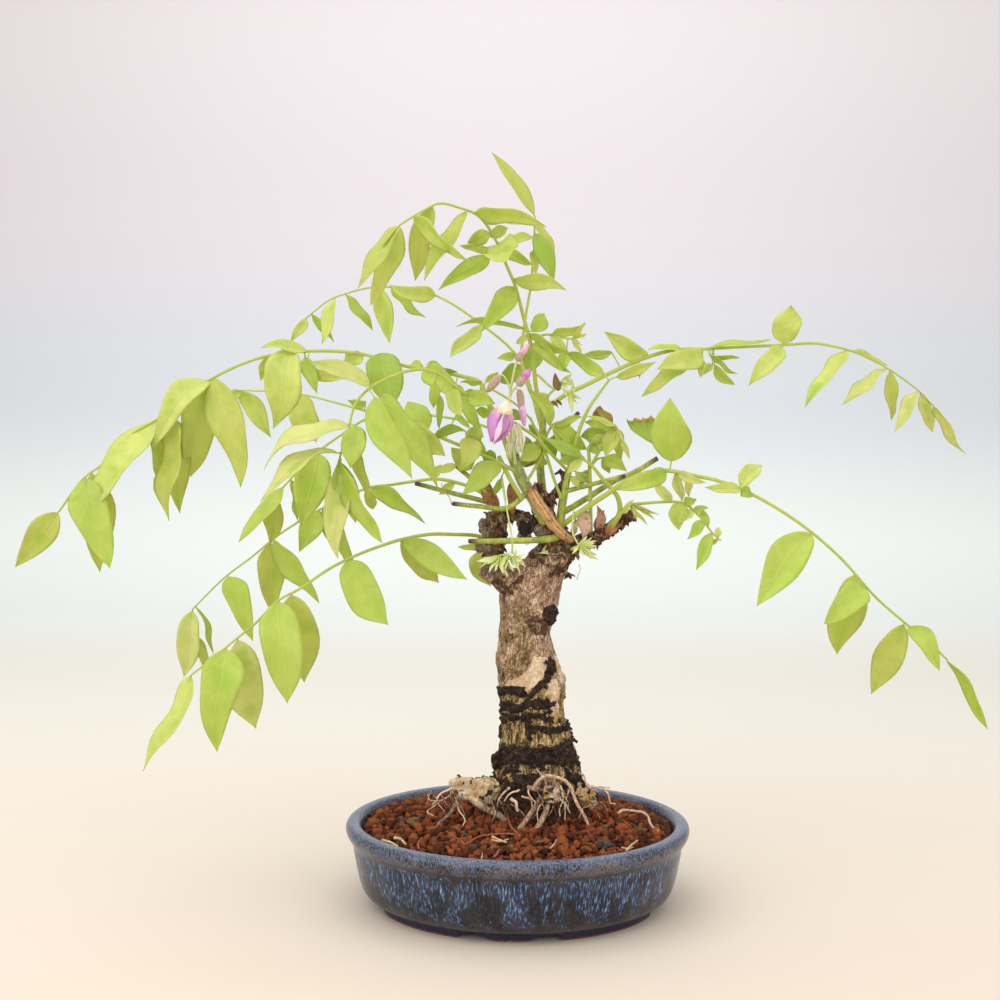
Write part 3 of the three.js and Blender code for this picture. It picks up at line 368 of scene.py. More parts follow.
def turned_pot():
    """The bowl, with its points marked where they lie inside the lip and where the clay is bare."""
    outline = smooth_line(POT_OUTLINE, 3)
    outline[:, 0] = np.maximum(outline[:, 0], 0)
    outline[:, 1] = np.clip(outline[:, 1], 0, POT_TOP)
    outline = outline[1:-1]
    crest = int(np.argmax(outline[:, 1] > POT_TOP - 0.02))
    points, marks = [], []
    for i, (r, z) in enumerate(outline):
        for angle in round_angles(POT_SEGMENTS):
            x = r * math.cos(angle)
            y = r * math.sin(angle) * squeeze(r)
            low = notch_lift(x, y) if z < FLOOR_LEVEL and r > RING_INNER else 0
            points.append((x, y, max(z, low)))
            marks.append((i > crest, z < BARE_BELOW or low > z, 0))
    faces = [(b, a, d, c) for a, b, c, d in ring_faces(len(outline), POT_SEGMENTS)]
    faces += [end[::-1] for end in end_faces(len(outline), POT_SEGMENTS)]
    pot = Skin()
    pot.add(points, faces, mark=marks)
    return pot


glaze, start, where = new_material("running_blue_glaze")
mark = start.attribute("mark")
inside = mark.part(0).step(0.2, 0.8)
height = where.part(2)
threads = where.stretched(1, 1, 0.05).noise(1250, 3, 0.52)
runs = where.stretched(1, 1, 0.1).noise(200, 3, 0.6)
speckle = where.stretched(1, 1, 0.4).noise(1500, 3, 0.68)
clouds = where.noise(75, 2)
wall = height.step(0.006, 0.015) * (1 - height.step(0.0345, 0.0375))
lip = height.step(0.0365, 0.0395)
ground = (clouds + 0.3 * speckle).shades(0.5, 0.8, (20, 18, 21), (56, 49, 49))
# The lip's ground runs from dark to pale grey-brown in specks; its pale end is partly a painted highlight
# along the lip.
lip_ground_and_highlight = (speckle + 0.3 * clouds).shades(0.56, 0.76, (30, 29, 33), (112, 104, 102))
coloured = lip.blend(ground, lip_ground_and_highlight)
hang = height.step(0.004, 0.036) * 0.16
cloak = (runs + 0.25 * clouds + hang).step(0.62, 0.8) * wall
coloured = (cloak * 0.55 * (speckle + threads).step(0.7, 1.2)).blend(coloured, rgb(40, 58, 92))
fine_streaks = (threads + 0.06 * speckle).step(0.53, 0.62) * (0.14 + 0.86 * cloak)
coloured = (fine_streaks * (0.1 + 0.9 * wall)).blend(coloured, rgb(74, 104, 146))
bright = (threads + 0.08 * speckle).step(0.63, 0.73) * cloak
coloured = bright.blend(coloured, rgb(134, 164, 194))
lip_specks = (threads + 0.4 * speckle).step(0.7, 0.86) * lip
coloured = (lip_specks * 0.7).blend(coloured, rgb(62, 90, 134))
rolled_top = height.step(0.0415, 0.0448) * (speckle + 0.5 * threads).step(0.7, 0.92)
coloured = (rolled_top * 0.7).blend(coloured, rgb(84, 116, 160))
within = (speckle + 0.6 * where.noise(160, 2)).shades(0.6, 0.95, (52, 74, 116), (100, 140, 190))
coloured = (inside * (1 - height.step(0.0452, 0.046))).blend(coloured, within)
# Painted highlight: the band along the crest of the lip, flecked blue-grey and pale brownish grey, is
# partly the thin glaze there and partly a highlight painted along the crest.
crest = height.step(0.045, 0.0458) * where.noise(900, 3, 0.65).step(0.4, 0.56) * 0.85
coloured = crest.blend(coloured, speckle.shades(0.42, 0.62, (88, 112, 150), (142, 134, 134)))
foot = (1 - height.step(0.0042, 0.006)) * 0.75
coloured = foot.blend(coloured, rgb(34, 40, 70))
# Painted highlight: a pale brownish line in the groove just above the foot ring.
foot_groove_highlight = height.step(0.0045, 0.0058) * (1 - height.step(0.0064, 0.0078)) * 0.45
coloured = foot_groove_highlight.blend(coloured, rgb(112, 98, 92))
worn = 1 - (height * 1000 + 1.4 * where.noise(300, 2)).step(1.4, 2.3)
bare = start.math("MAXIMUM", mark.part(1).step(0.3, 0.9), worn * 0.9)
coloured = bare.blend(coloured, rgb(126, 64, 44))
finish_with(start, principled(start, coloured, 0.24 + 0.4 * bare, threads + 0.5 * runs, 0.00018,
                              Specular_IOR_Level=0.3, Coat_Weight=0.15, Coat_Roughness=0.14))
oval_pot = stand_in("oval_pot", turned_pot(), glaze, "pot_glaze", "pot")

drill_skin = Skin()
for side in (-1, 1):
    ring = [(side * DRAIN_OFFSET + DRAIN_RADIUS * math.cos(a), DRAIN_RADIUS * math.sin(a))
            for a in np.linspace(0, 2 * math.pi, DRILL_SIDES, endpoint=False)]
    drill_skin.add([(x, y, z) for z in DRILL_ENDS for x, y in ring],
                   end_faces(2, DRILL_SIDES) + ring_faces(2, DRILL_SIDES))
drill = link_object("drill", drill_skin.mesh("drill"))
cutter = oval_pot.modifiers.new("drain_holes", "BOOLEAN")
cutter.object = drill
cutter.operation = "DIFFERENCE"
cutter.solver = "EXACT"
settled = bpy.data.meshes.new_from_object(
    oval_pot.evaluated_get(bpy.context.evaluated_depsgraph_get()))
oval_pot.modifiers.clear()
oval_pot.data = settled
bpy.data.objects.remove(drill)


# Over each drain hole lies a square of moulded black plastic mesh. It keeps the granules in, and
# the weight of the soil holds it down.
mesh_plastic, start, where = new_material("mesh_plastic")
scuffs = where.noise(600, 3)
finish_with(start, principled(start, scuffs.blend(rgb(22, 22, 24), rgb(44, 44, 46)), 0.5 + 0.2 * scuffs))
for side in ("left", "right"):
    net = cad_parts["drain_mesh_" + side]
    for filled in net.material_slots:
        filled.material = mesh_plastic


# The soil: fired clay granules, brick red and three to six millimetres across, heaped a little
# round the trunk, with a few dark ones, bits of straw and loose roots among them.
SOIL_LEVEL = 43.5
MOUND_HEIGHT = 8
MOUND_X = 9
MOUND_HALF_WIDTH = 52
MOUND_HALF_DEPTH = 44
TRUNK_FOOT_X = 11
TRUNK_FOOT_HALF_WIDTH = 27
TRUNK_FOOT_HALF_DEPTH = 18
SOIL_RADIUS = 85
SOIL_FLATNESS = 0.822
GRANULE_SPACING = 3.9
GRANULE_JITTER = 1.4
BED_HALF_WIDTH = 90
BED_HALF_DEPTH = 75
NEAR_LIP = 80
FINE_IN_FRONT_OF = -38
SUNK_BY = 1.5
SOIL_SIDE = [(69.5, 10.35), (78.5, 12.3), (84.75, 24.2), (86, 41)]
SOIL_SIDES = 96
BED_RINGS = 24
RIM_INSIDE = 86.4
CLEAR_OF_LIP = 45.2


def soil_height(x, y):
    away = math.hypot((x - MOUND_X) / MOUND_HALF_WIDTH, y / MOUND_HALF_DEPTH)
    ripple = 0.9 * math.sin(1.13 * x + 0.7 * y) * math.sin(0.9 * y - 0.5 * x)
    return SOIL_LEVEL + MOUND_HEIGHT * math.exp(-away * away) + 0.6 * ripple


def soil_bed():
    """A closed bed under the granules, level with their undersides."""
    points = [(r * math.cos(a), r * math.sin(a) * squeeze(r), z)
              for r, z in SOIL_SIDE for a in round_angles(SOIL_SIDES)]
    for r in np.linspace(SOIL_RADIUS, 4, BED_RINGS):
        for a in round_angles(SOIL_SIDES):
            x, y = r * math.cos(a), r * math.sin(a) * SOIL_FLATNESS
            points.append((x, y, soil_height(x, y) - SUNK_BY))
    rings = len(SOIL_SIDE) + BED_RINGS
    return points, ring_faces(rings, SOIL_SIDES) + end_faces(rings, SOIL_SIDES)


def round_seed(subdivisions):
    """The points and faces of a ball of radius one."""
    ball = bmesh.new()
    bmesh.ops.create_icosphere(ball, subdivisions=subdivisions, radius=1)
    points = np.array([v.co for v in ball.verts])
    faces = [[v.index for v in f.verts] for f in ball.faces]
    ball.free()
    return points, faces


def granule(chance, ball, size):
    """A crushed lump: a ball cut by a few flat breaks, dented and pressed out of round."""
    points = ball.copy()
    for _ in range(10):
        way = np.array([chance.gauss(0, 1) for _ in range(3)])
        way /= np.linalg.norm(way)
        over = np.maximum(0, points @ way - chance.uniform(0.4, 0.8))
        points -= over[:, None] * way
    start = chance.uniform(0, 50)
    dents = np.array([noise.noise((p * 1.9 + start).tolist()) for p in points])
    points *= 1.04 + 0.15 * dents[:, None]
    points *= [chance.uniform(0.9, 1.3), chance.uniform(0.8, 1.15), chance.uniform(0.7, 1)]
    spin = Vector((chance.gauss(0, 1), chance.gauss(0, 1), chance.gauss(0, 1))).normalized()
    turn = np.array(Vector((0, 0, 1)).rotation_difference(spin).to_matrix())
    return points @ turn.T * size


def inside_trunk(x, y):
    return ((x - TRUNK_FOOT_X) / TRUNK_FOOT_HALF_WIDTH) ** 2 + (y / TRUNK_FOOT_HALF_DEPTH) ** 2 < 1


chance = random.Random(4)
soil_skin = Skin()
# Painted shade: the bed under the granules takes a dark clay tone, so that the gaps between them look
# shaded.
soil_skin.add(*soil_bed(), mark=(0.12, 0.3, 0))
fine_ball = round_seed(3)
plain_ball = round_seed(2)
row_height = GRANULE_SPACING * math.sqrt(3) / 2
row = 0
y = -BED_HALF_DEPTH
while y < BED_HALF_DEPTH:
    x = -BED_HALF_WIDTH + (row % 2) * GRANULE_SPACING / 2
    while x < BED_HALF_WIDTH:
        px = x + chance.uniform(-GRANULE_JITTER, GRANULE_JITTER)
        py = y + chance.uniform(-GRANULE_JITTER, GRANULE_JITTER)
        size = 1.6 + 1.3 * chance.random() + 1.4 * (chance.random() > 0.82)
        rim = math.hypot(px, py / SOIL_FLATNESS)
        if rim + size < RIM_INSIDE and not inside_trunk(px, py):
            tone = chance.random()
            kind = chance.random()
            height_here = soil_height(px, py) + chance.uniform(-1.0, 0.5) - 0.25 * size
            if rim > NEAR_LIP:
                height_here = min(height_here, CLEAR_OF_LIP - size)
            dark = 1 if kind < 0.003 else 0.5 if kind < 0.01 else 0
            ball, ball_faces = fine_ball if py < FINE_IN_FRONT_OF else plain_ball
            soil_skin.add(granule(chance, ball, size) + [px, py, height_here], ball_faces,
                          mark=(tone, dark, chance.random()))
        x += GRANULE_SPACING
    y += row_height
    row += 1


def on_soil(u, v, above=0.0):
    """The place on the soil that is seen at a drawn point, lifted by a little."""
    near, far = -BED_HALF_DEPTH - 5, BED_HALF_DEPTH + 5
    for _ in range(30):
        depth = (near + far) / 2
        x, _, z = place(u, v, depth)
        if z > soil_height(x, depth) + above:
            near = depth
        else:
            far = depth
    return place(u, v, near)


# Single stones of another kind: where they are seen (u, v), their size, and how dark they are.
ODD_STONES = [
    (-58.9, 44.4, 4.6, 0.5), (-64.6, 46.4, 3, 1), (49.8, 32.9, 4.2, 1), (50.1, 43, 2.4, 0.5),
    (-4, 31, 2.8, 0.5), (-29, 37.4, 2.2, 1), (-13.4, 30.6, 2.4, 0.5), (12.4, 34.6, 2.2, 0.5),
]
for u, v, size, dark in ODD_STONES:
    soil_skin.add(granule(chance, fine_ball[0], size) + on_soil(u, v, 0.8), fine_ball[1],
                  mark=(0.5, dark, chance.random()))

clay, start, where = new_material("fired_clay_granules")
mark = start.attribute("mark")
tone = mark.part(0)
grit = where.noise(900, 4, 0.65)
blotches = where.noise(120, 2)
clay_colour = (tone * 0.7 + 0.5 * grit).shades(0.2, 0.95, (60, 27, 11), (144, 78, 42))
clay_colour = (grit.step(0.56, 0.76) * 0.45).blend(clay_colour, rgb(186, 116, 74))
clay_colour = ((1 - grit.step(0.3, 0.46)) * 0.6).blend(clay_colour, rgb(44, 18, 8))
mossy = grit.shades(0.35, 0.6, (70, 74, 56), (128, 124, 88))
clay_colour = mark.part(1).step(0.4, 0.6).blend(clay_colour, mossy)
blackish = grit.shades(0.35, 0.6, (42, 38, 36), (96, 90, 86))
clay_colour = mark.part(1).step(0.8, 0.95).blend(clay_colour, blackish)
finish_with(start, principled(start, clay_colour, 0.95, grit + 0.4 * blotches, 0.0006,
                              Specular_IOR_Level=0.25))
stand_in("soil_granules", soil_skin, clay, "clay_granules", "soil")


# The trunk and its surface roots are one piece of old wood. Its lower half is wound with dark shaggy
# bark over ochre flakes, its upper half is finely cracked and tan, and a pale scar lies between.
# Each ring of the trunk: its height as drawn, its left and right end (u), and half its depth.
TRUNK_RINGS = np.array([
    (32, -15, 33, 16), (52, -17, 40, 20), (66, -13.6, 37, 19), (78, -11.4, 33.6, 18), (84, -10.6, 32.2, 18),
    (91, -9.4, 29.4, 17.5), (98.5, -9, 28, 17.3), (105.6, -9.8, 25, 17), (112.8, -9.8, 24, 17),
    (120, -10.6, 25.4, 17), (127, -11.2, 26, 16.8), (137.8, -12.4, 21.8, 16.2), (145, -10.6, 19.6, 15.5),
    (152.6, -10.4, 17.4, 14.5), (160, -10.2, 20.6, 15), (172, -10.8, 22, 15),
    (181, -10, 23.8, 14.5), (189, -1, 27, 13), (197, 7, 32.5, 11), (207, 17, 29, 6)])
TRUNK_RINGS[:, 0] -= EYE_LEVEL_DRAWN - EYE[2]
TRUNK_SIDES = 72
LIMB_SIDES = 14
CAP_HEIGHT = 0.35
VOXEL = 0.66
COLUMN_TOP = 208
OLD_BARK = 0
PALE_LUMP = 1
DARK_WOOD = 2
TAN_WOOD = 3
ROOT_SKIN = 4
GREY_WOOD = 5
# Each limb: what its surface is, its radius at the two ends, and its points (u, v, depth).
LIMBS = [
    (PALE_LUMP, 7.5, 3, [(-2, 65, 0), (-12, 64, -4), (-22.4, 65.6, -6), (-36.4, 67, -8)]),
    (PALE_LUMP, 5.4, 3.4, [(-16, 60, -6), (-24, 61, -8), (-32, 61.6, -8)]),
    (PALE_LUMP, 6.5, 4, [(26, 69, 0), (33, 63, -7), (40, 59, -12), (43.4, 57, -13)]),
    (DARK_WOOD, 5, 4, [(12, 69, -12), (17, 63, -20), (20, 57, -22)]),
    (ROOT_SKIN, 1.9, 1.6, [(-32, 62.4, -8), (-27, 59, -11), (-18.8, 53.6, -16), (-9, 48.4, -20),
                           (-4, 42, -22)]),
    (ROOT_SKIN, 1.2, 0.7, [(-32, 59, -8), (-34.4, 55.6, -11), (-37.5, 50.5, -13), (-44, 44.5, -15),
                           (-47, 40, -15)]),
    (ROOT_SKIN, 1.5, 1.25, [(16, 62, -19), (13, 59, -22), (7.2, 49.8, -26), (0.4, 40.6, -29),
                            (-3, 35, -30)]),
    (ROOT_SKIN, 1.6, 1.35, [(18, 59, -20), (17.3, 56, -24), (14.4, 48, -28), (9.4, 39.3, -31),
                            (6, 33, -32)]),
    (ROOT_SKIN, 1.4, 1.2, [(17, 63.2, -19), (11, 63.6, -22), (5.6, 65.2, -24)]),
    (ROOT_SKIN, 1.8, 1.2, [(20, 66, -19), (25, 62, -22), (26, 58, -22)]),
    (DARK_WOOD, 7, 2.8, [(2, 70, 12), (-10, 63, 22), (-20, 57, 31), (-30, 48, 38)]),
    (PALE_LUMP, 7, 2.6, [(18, 70, 12), (24, 64, 23), (33, 58, 32), (42, 50, 39)]),
    (OLD_BARK, 4, 2, [(-7, 82, -2), (-10.6, 80.4, -5), (-13.8, 78.8, -6)]),
    (TAN_WOOD, 9, 6.5, [(6, 176, 0), (-4, 180, -1), (-12, 185, -1), (-19, 189, -2)]),
    (GREY_WOOD, 6.2, 6.6, [(-11.4, 184.6, -2.4), (-16, 187.4, -2.4), (-19, 189.4, -2.6)]),
    (DARK_WOOD, 5, 6.2, [(-14, 186, 0), (-14, 196, 0), (-13.5, 208, 0), (-12.5, 218, 1)]),
    (GREY_WOOD, 2.6, 1.9, [(-14, 203, -2), (-19, 207, -3), (-21, 212, -3), (-19.4, 215, -2)]),
    (GREY_WOOD, 3.4, 2.5, [(-15, 199, -2), (-20, 200, -3), (-22.4, 202, -3), (-21.4, 197, -3)]),
    (DARK_WOOD, 2.8, 2.4, [(-12, 217, 0), (-3, 218, -1), (3, 216, -2), (11, 211, -1), (16, 205, 0)]),
    (DARK_WOOD, 4, 3.4, [(3.2, 215, -3), (3, 210.5, -5), (3.4, 205, -4)]),
    (GREY_WOOD, 4.4, 4, [(17, 205, -4), (12.5, 208.5, -6), (10, 211, -6)]),
    (DARK_WOOD, 4.6, 2.4, [(26, 200, 1), (35, 203, 0), (44, 206, -1), (52, 211.5, -2), (60, 217.5, -3),
                           (63.5, 219, -3)]),
    (DARK_WOOD, 2, 1, [(20, 187, -4), (25, 185.5, -5), (28.6, 184, -5)]),
    (DARK_WOOD, 5, 3.4, [(25, 203, -3), (18, 212, -3), (13, 219, -3), (9.6, 225, -4)]),
    (DARK_WOOD, 1.9, 1.2, [(17.5, 214, -4), (16.6, 223.5, -4), (13.4, 229, -5), (10.4, 235.6, -5)]),
    (DARK_WOOD, 2, 1.3, [(18, 214, -3), (17.4, 225, -3), (20.6, 231.5, -4), (24.8, 238, -5),
                         (22.6, 243, -5)]),
]
# Dark bands of shaggy bark: height, half height, left and right end as seen, and slope.
BANDS = [
    (119.2, 2.9, -13, 4.8, 0), (110.3, 2.9, -12, 21.4, 0.08), (104, 1.7, -12, 22, 0.05),
    (97.8, 2.5, 8, 31, 0.16), (97, 5.4, 4.6, 9, 0), (83, 6, -14, 37, 0), (90, 2, -14, -8, 0),
    (88.6, 2.6, 23, 35, 0.1), (70, 3, 2, 12, 0.1), (79.4, 4, -19, -9, 0), (72, 3, 25, 36, -0.3),
    (66, 6, -2, 12, 0), (74.4, 2, -6, 2, 0.3), (75, 2, 12, 17, 0.2),
]


def drawn_line(points, steps=8):
    return smooth_line([place(*p) for p in points], steps)


def tube(line, radii, sides, rough=0.0):
    """A closed round skin along a line, with a radius for each of its points."""
    line = np.asarray(line, float)
    radii = np.broadcast_to(radii, len(line))
    runs = np.gradient(line, axis=0)
    runs /= np.linalg.norm(runs, axis=1)[:, None]
    side = np.cross(runs[0], (0.31, 0.2, 0.93))
    points = []
    for i, (centre, run, radius) in enumerate(zip(line, runs, radii)):
        side = side - run * (side @ run)
        side /= np.linalg.norm(side)
        other = np.cross(run, side)
        for k, a in enumerate(round_angles(sides)):
            swell = 1 + rough * math.sin(3 * a + i * 0.9) + rough * math.sin(i * 1.3 + k * 2.1)
            points.append(centre + radius * swell * (side * math.cos(a) + other * math.sin(a)))
    count = len(line)
    points.append(line[0] - runs[0] * radii[0] * CAP_HEIGHT)
    points.append(line[-1] + runs[-1] * radii[-1] * CAP_HEIGHT)
    first, last, top = count * sides, count * sides + 1, (count - 1) * sides
    faces = ring_faces(count, sides) + [(first, (k + 1) % sides, k) for k in range(sides)]
    faces += [(last, top + k, top + (k + 1) % sides) for k in range(sides)]
    return points, faces


def trunk_column():
    """The trunk without its limbs, a little ridged, from its buried foot to its old top."""
    heights = np.arange(TRUNK_RINGS[0, 0], TRUNK_RINGS[-1, 0] + 0.1, 2.5)
    left, right, deep = (np.interp(heights, TRUNK_RINGS[:, 0], TRUNK_RINGS[:, i]) for i in (1, 2, 3))
    points = []
    for z, l, r, d in zip(heights, left, right, deep):
        for a in round_angles(TRUNK_SIDES):
            ridge = 1 + 0.035 * math.sin(5 * a + z / 13) + 0.025 * math.sin(9 * a - z / 7)
            points.append(((l + r) / 2 + (r - l) / 2 * ridge * math.cos(a), d * ridge * math.sin(a), z))
    return points, ring_faces(len(heights), TRUNK_SIDES) + end_faces(len(heights), TRUNK_SIDES)


def lumps(points, size, seed=0.0, stretch=(1, 1, 1)):
    """Smooth noise at each point, with lumps of about that size in millimetres."""
    scaled = points / (size * np.array(stretch, float)) + seed * 17.31
    return np.array([noise.noise(p) for p in scaled.tolist()])


def ridges(points, size, seed=0.0, stretch=(1, 1, 1)):
    """Sharp-crested noise, from 0 in the cracks to 1 on the crests."""
    return 1 - 2 * np.abs(lumps(points, size, seed, stretch))


def soft_step(values, low, high):
    t = np.clip((values - low) / (high - low), 0, 1)
    return t * t * (3 - 2 * t)


wood_skin = Skin()
wood_skin.add(*trunk_column())
limb_lines = []
for kind, start_radius, end_radius, points in LIMBS:
    line = drawn_line(points)
    radii = np.linspace(start_radius, end_radius, len(line))
    limb_lines.append((kind, line, radii))
    wood_skin.add(*tube(line, radii, LIMB_SIDES, 0.05))
rough_trunk = link_object("rough_trunk", wood_skin.mesh("rough_trunk"))
remesh = rough_trunk.modifiers.new("one_skin", "REMESH")
remesh.mode = "VOXEL"
remesh.voxel_size = VOXEL * MM
grown = bpy.data.meshes.new_from_object(rough_trunk.evaluated_get(bpy.context.evaluated_depsgraph_get()))
bpy.data.objects.remove(rough_trunk)

count = len(grown.vertices)
flat = np.empty(count * 3, np.float32)
grown.vertices.foreach_get("co", flat)
at = (flat.reshape(-1, 3).astype(float) - POT_CENTRE) / MM
grown.vertices.foreach_get("normal", flat)
normals = flat.reshape(-1, 3).astype(float)

# How far each point is from the trunk's own middle, and which limb it belongs to.
ring_heights, ring_left, ring_right, ring_depth = TRUNK_RINGS.T
centre_x = np.interp(at[:, 2], ring_heights, (ring_left + ring_right) / 2)
half_x = np.interp(at[:, 2], ring_heights, (ring_right - ring_left) / 2)
half_y = np.interp(at[:, 2], ring_heights, ring_depth)
nearest = np.hypot((at[:, 0] - centre_x) / half_x, at[:, 1] / half_y)
nearest[at[:, 2] > COLUMN_TOP] = 9
owner = np.full(count, OLD_BARK)
for kind, line, radii in limb_lines:
    for point, radius in zip(line, radii):
        share = np.linalg.norm(at - point, axis=1) / radius
        closer = share < nearest * 0.97
        nearest[closer] = share[closer]
        owner[closer] = kind
seen_u, seen_v = seen(at)
front = soft_step(-at[:, 1], -2, 4)

shag = lumps(at, 3.2, 1, (1, 1, 0.6))
fine = lumps(at, 1.6, 2)
furrow = ridges(at, 2.2, 3, (1, 1, 4))
flake = ridges(at, 2.8, 13, (1.3, 1.3, 1))
wander = 2.8 * lumps(at, 9, 4) + 1.8 * shag + 1.1 * fine


def patch(u, v, half_u, half_v, tilt, ragged):
    """A soft-edged patch on the front, about a drawn point."""
    du, dv = seen_u - u, seen_v - v
    along = du * math.cos(tilt) + dv * math.sin(tilt)
    aside = dv * math.cos(tilt) - du * math.sin(tilt)
    away = np.hypot(along / half_u, aside / half_v) + ragged * fine + ragged * shag
    return (1 - soft_step(away, 0.85, 1.1)) * soft_step(-at[:, 1], 0, 4)


def most(*masks):
    return np.maximum.reduce(masks)


def patches(*rows):
    """Several such patches in one. Each row ends with how strong its patch is."""
    return most(*(patch(*row) * strength for *row, strength in rows))


def outlined(corners, ragged):
    """1 on the front within an outline of drawn points, which is a little ragged."""
    u, v = seen_u + ragged * fine, seen_v + ragged * shag
    inside = np.zeros(len(u), bool)
    for (u1, v1), (u2, v2) in zip(corners, corners[1:] + corners[:1]):
        crosses = (v1 > v) != (v2 > v)
        inside ^= crosses & (u < (u2 - u1) * (v - v1) / (v2 - v1 + 1e-9) + u1)
    return inside * soft_step(-at[:, 1], 0, 4)


# The outline of the pale scar (u, v).
SCAR = [
    (8.3, 138.6), (16.2, 138), (15.1, 131.8), (13.7, 126.8), (9.2, 122.3), (4.7, 118.4), (4.1, 121.5),
    (-0.4, 121.7), (-7.1, 122.6), (-6.5, 124.5), (-2, 125.4), (1.9, 127.9), (5.8, 131.3), (7.5, 134.6),
]


# Where the bark is dark and shaggy, where it is ochre, and where bare pale wood shows.
dark = np.zeros(count)
for height_mid, half, left, right, slope in BANDS:
    level = height_mid + slope * (seen_u - (left + right) / 2) + wander
    high = 1 - soft_step(np.abs(seen_v - level), half * 0.75, half * 1.25)
    ends = soft_step(seen_u + wander, left - 1, left + 1)
    ends *= 1 - soft_step(seen_u + wander, right - 1, right + 1)
    dark = most(dark, high * ends * front)
rings_behind = np.sin(at[:, 2] / 2.9 + 1.5 * lumps(at, 16, 5)) + 1.2 * lumps(at, 7, 6)
behind = (1 - front) * soft_step(rings_behind, -0.1, 0.5) * (1 - soft_step(at[:, 2], 118, 128))
low = 1 - soft_step(at[:, 2], 68, 78)
low *= soft_step(lumps(at, 4, 7) + 0.7 * shag + 0.02 * (72 - at[:, 2]), -0.12, 0.1) * 0.95
low = most(low, (1 - soft_step(at[:, 2] + 5 * shag, 60, 65)) * 0.95)
dark = most(dark, behind, low)
ochre = 1 - soft_step(seen_v, 112 + 8 * lumps(at, 12, 8), 128)
mottled = soft_step(lumps(at, 6, 9) + 0.7 * shag + 0.4 * fine, -0.55, 0.3)
mottled *= 1 - soft_step(seen_v, 158, 178)
ochre = most(ochre, mottled * (1 - soft_step(seen_u + 5 * lumps(at, 9, 15), 3, 15)) * 0.7)

scar = outlined(SCAR, 0.5)
strip = patches((19.6, 118.6, 3.6, 6.4, -0.15, 0.35, 1), (20.4, 108, 2.4, 6, 0, 0.4, 0.7))
outer_strip = patch(23.4, 131, 1.6, 8, 0.25, 0.3)
pale = most(scar, strip, outer_strip)
dark = most(dark, patches(
    (11.5, 121.5, 2, 10, math.radians(-42), 0.3, 1), (17.6, 132.5, 3.4, 6, 0.1, 0.3, 1),
    (15.4, 127.5, 2.4, 4, 0.3, 0.3, 0.9)))
brown = patches(
    (11.6, 155.4, 7, 5.4, -0.3, 0.45, 1), (2, 156, 5, 3, 0.1, 0.7, 0.5), (12, 167, 4, 3, 0, 0.7, 0.4),
    (4, 170, 5, 2.4, 0, 0.8, 0.4), (0, 167.6, 11, 1.6, 0, 0.8, 0.55), (6, 160, 5, 1.8, 0.1, 0.6, 0.6),
    (-1, 147.4, 9, 1.8, 0, 0.8, 0.5), (2.5, 136.4, 5, 2.2, 0, 0.8, 0.5))
cleft = patches((-3.4, 177, 2.2, 9, -0.75, 0.4, 1), (-10.6, 178.4, 4.4, 6, 0.3, 0.4, 0.95))
top_lobe = patches(
    (14, 196.8, 8.6, 4.6, 0.25, 0.4, 1), (27, 196, 8, 8, 0, 0.4, 1), (22, 188, 4, 5, -0.6, 0.4, 0.8))
knot = patch(17.6, 162, 4.9, 6.4, 0, 0.12)
knot *= 1 - soft_step(np.hypot((at[:, 1] + 8.5) / 7.5, (seen_v - 162) / 6.4) + 0.12 * shag, 0.85, 1.1)
hollow = patch(3, 210.5, 3.5, 4.6, 0.1, 0.12)
cream_dot = patch(1.9, 209.4, 1.3, 1.2, 0, 0.02)
open_wood = patch(25.4, 192.8, 2.4, 2, 0.3, 0.3)
pit = patch(13.1, 129, 0.9, 0.7, 0.3, 0)
dark = most(dark * (1 - scar), knot, hollow)
ochre = np.where(owner == GREY_WOOD, 0, ochre)

lump = (owner == PALE_LUMP) * soft_step(72 - at[:, 2] + 6 * lumps(at, 7, 10), -4, 3)
lump *= 1 - 0.95 * soft_step(lumps(at, 3.6, 11) + 0.6 * fine, 0.2, 0.42)
lump = most(lump, patch(-27, 64, 10, 6.6, -0.1, 0.25) * (1 - 0.9 * soft_step(shag + fine, 0.34, 0.6)))
crown = (owner == DARK_WOOD) * patch(19, 61.5, 5.4, 5, 0.4, 0.6) * soft_step(shag, -0.1, 0.1)
pale = most(pale, lump, crown, cream_dot, open_wood)
dark = np.where(lump > 0.4, dark * 0.15, dark) * (1 - most(cream_dot, open_wood))
root_skin = (owner == ROOT_SKIN) * 1.0
dark *= 1 - root_skin
dark_wood = (owner == DARK_WOOD) * 1.0
top_dark = soft_step(seen_v - 0.3 * (seen_u - 20) + 4 * shag, 196, 201) * (owner == OLD_BARK)
dark_wood = most(dark_wood, brown * 0.85, cleft, top_lobe, top_dark * 0.9, pit)
dark_wood *= 1 - most(cream_dot, open_wood, hollow, knot)

move = 0.22 * shag + 0.2 * fine
move += dark * (0.9 + 1.2 * shag + 0.9 * fine)
move += (1 - dark) * (1 - most(pale, root_skin)) * (0.45 * furrow + 0.2 * flake - 0.35)
move += dark_wood * (1.2 * shag + 0.7 * fine + 0.3 * flake)
move += np.maximum(0, ochre) * (1 - dark) * 0.35 * ridges(at, 2.2, 12, (1, 1, 3.4))
move += lump * (0.9 * shag + 0.5 * fine + 0.2)
move += (owner == GREY_WOOD) * 0.6 * shag
move *= 1 - 0.75 * scar
move *= 1 - 0.6 * root_skin
knot_middle = patch(18.2, 161.6, 2.2, 3.2, 0, 0.05)
move += knot * 0.5 - knot_middle * 0.3 - hollow * 0.9 + cream_dot * 0.8 - pit * 0.8
relief = soft_step(shag + 0.8 * fine + 0.25 * flake, 0.05, 0.6)
at += normals * move[:, None]
grown.vertices.foreach_set("co", (at * MM + POT_CENTRE).astype(np.float32).ravel())
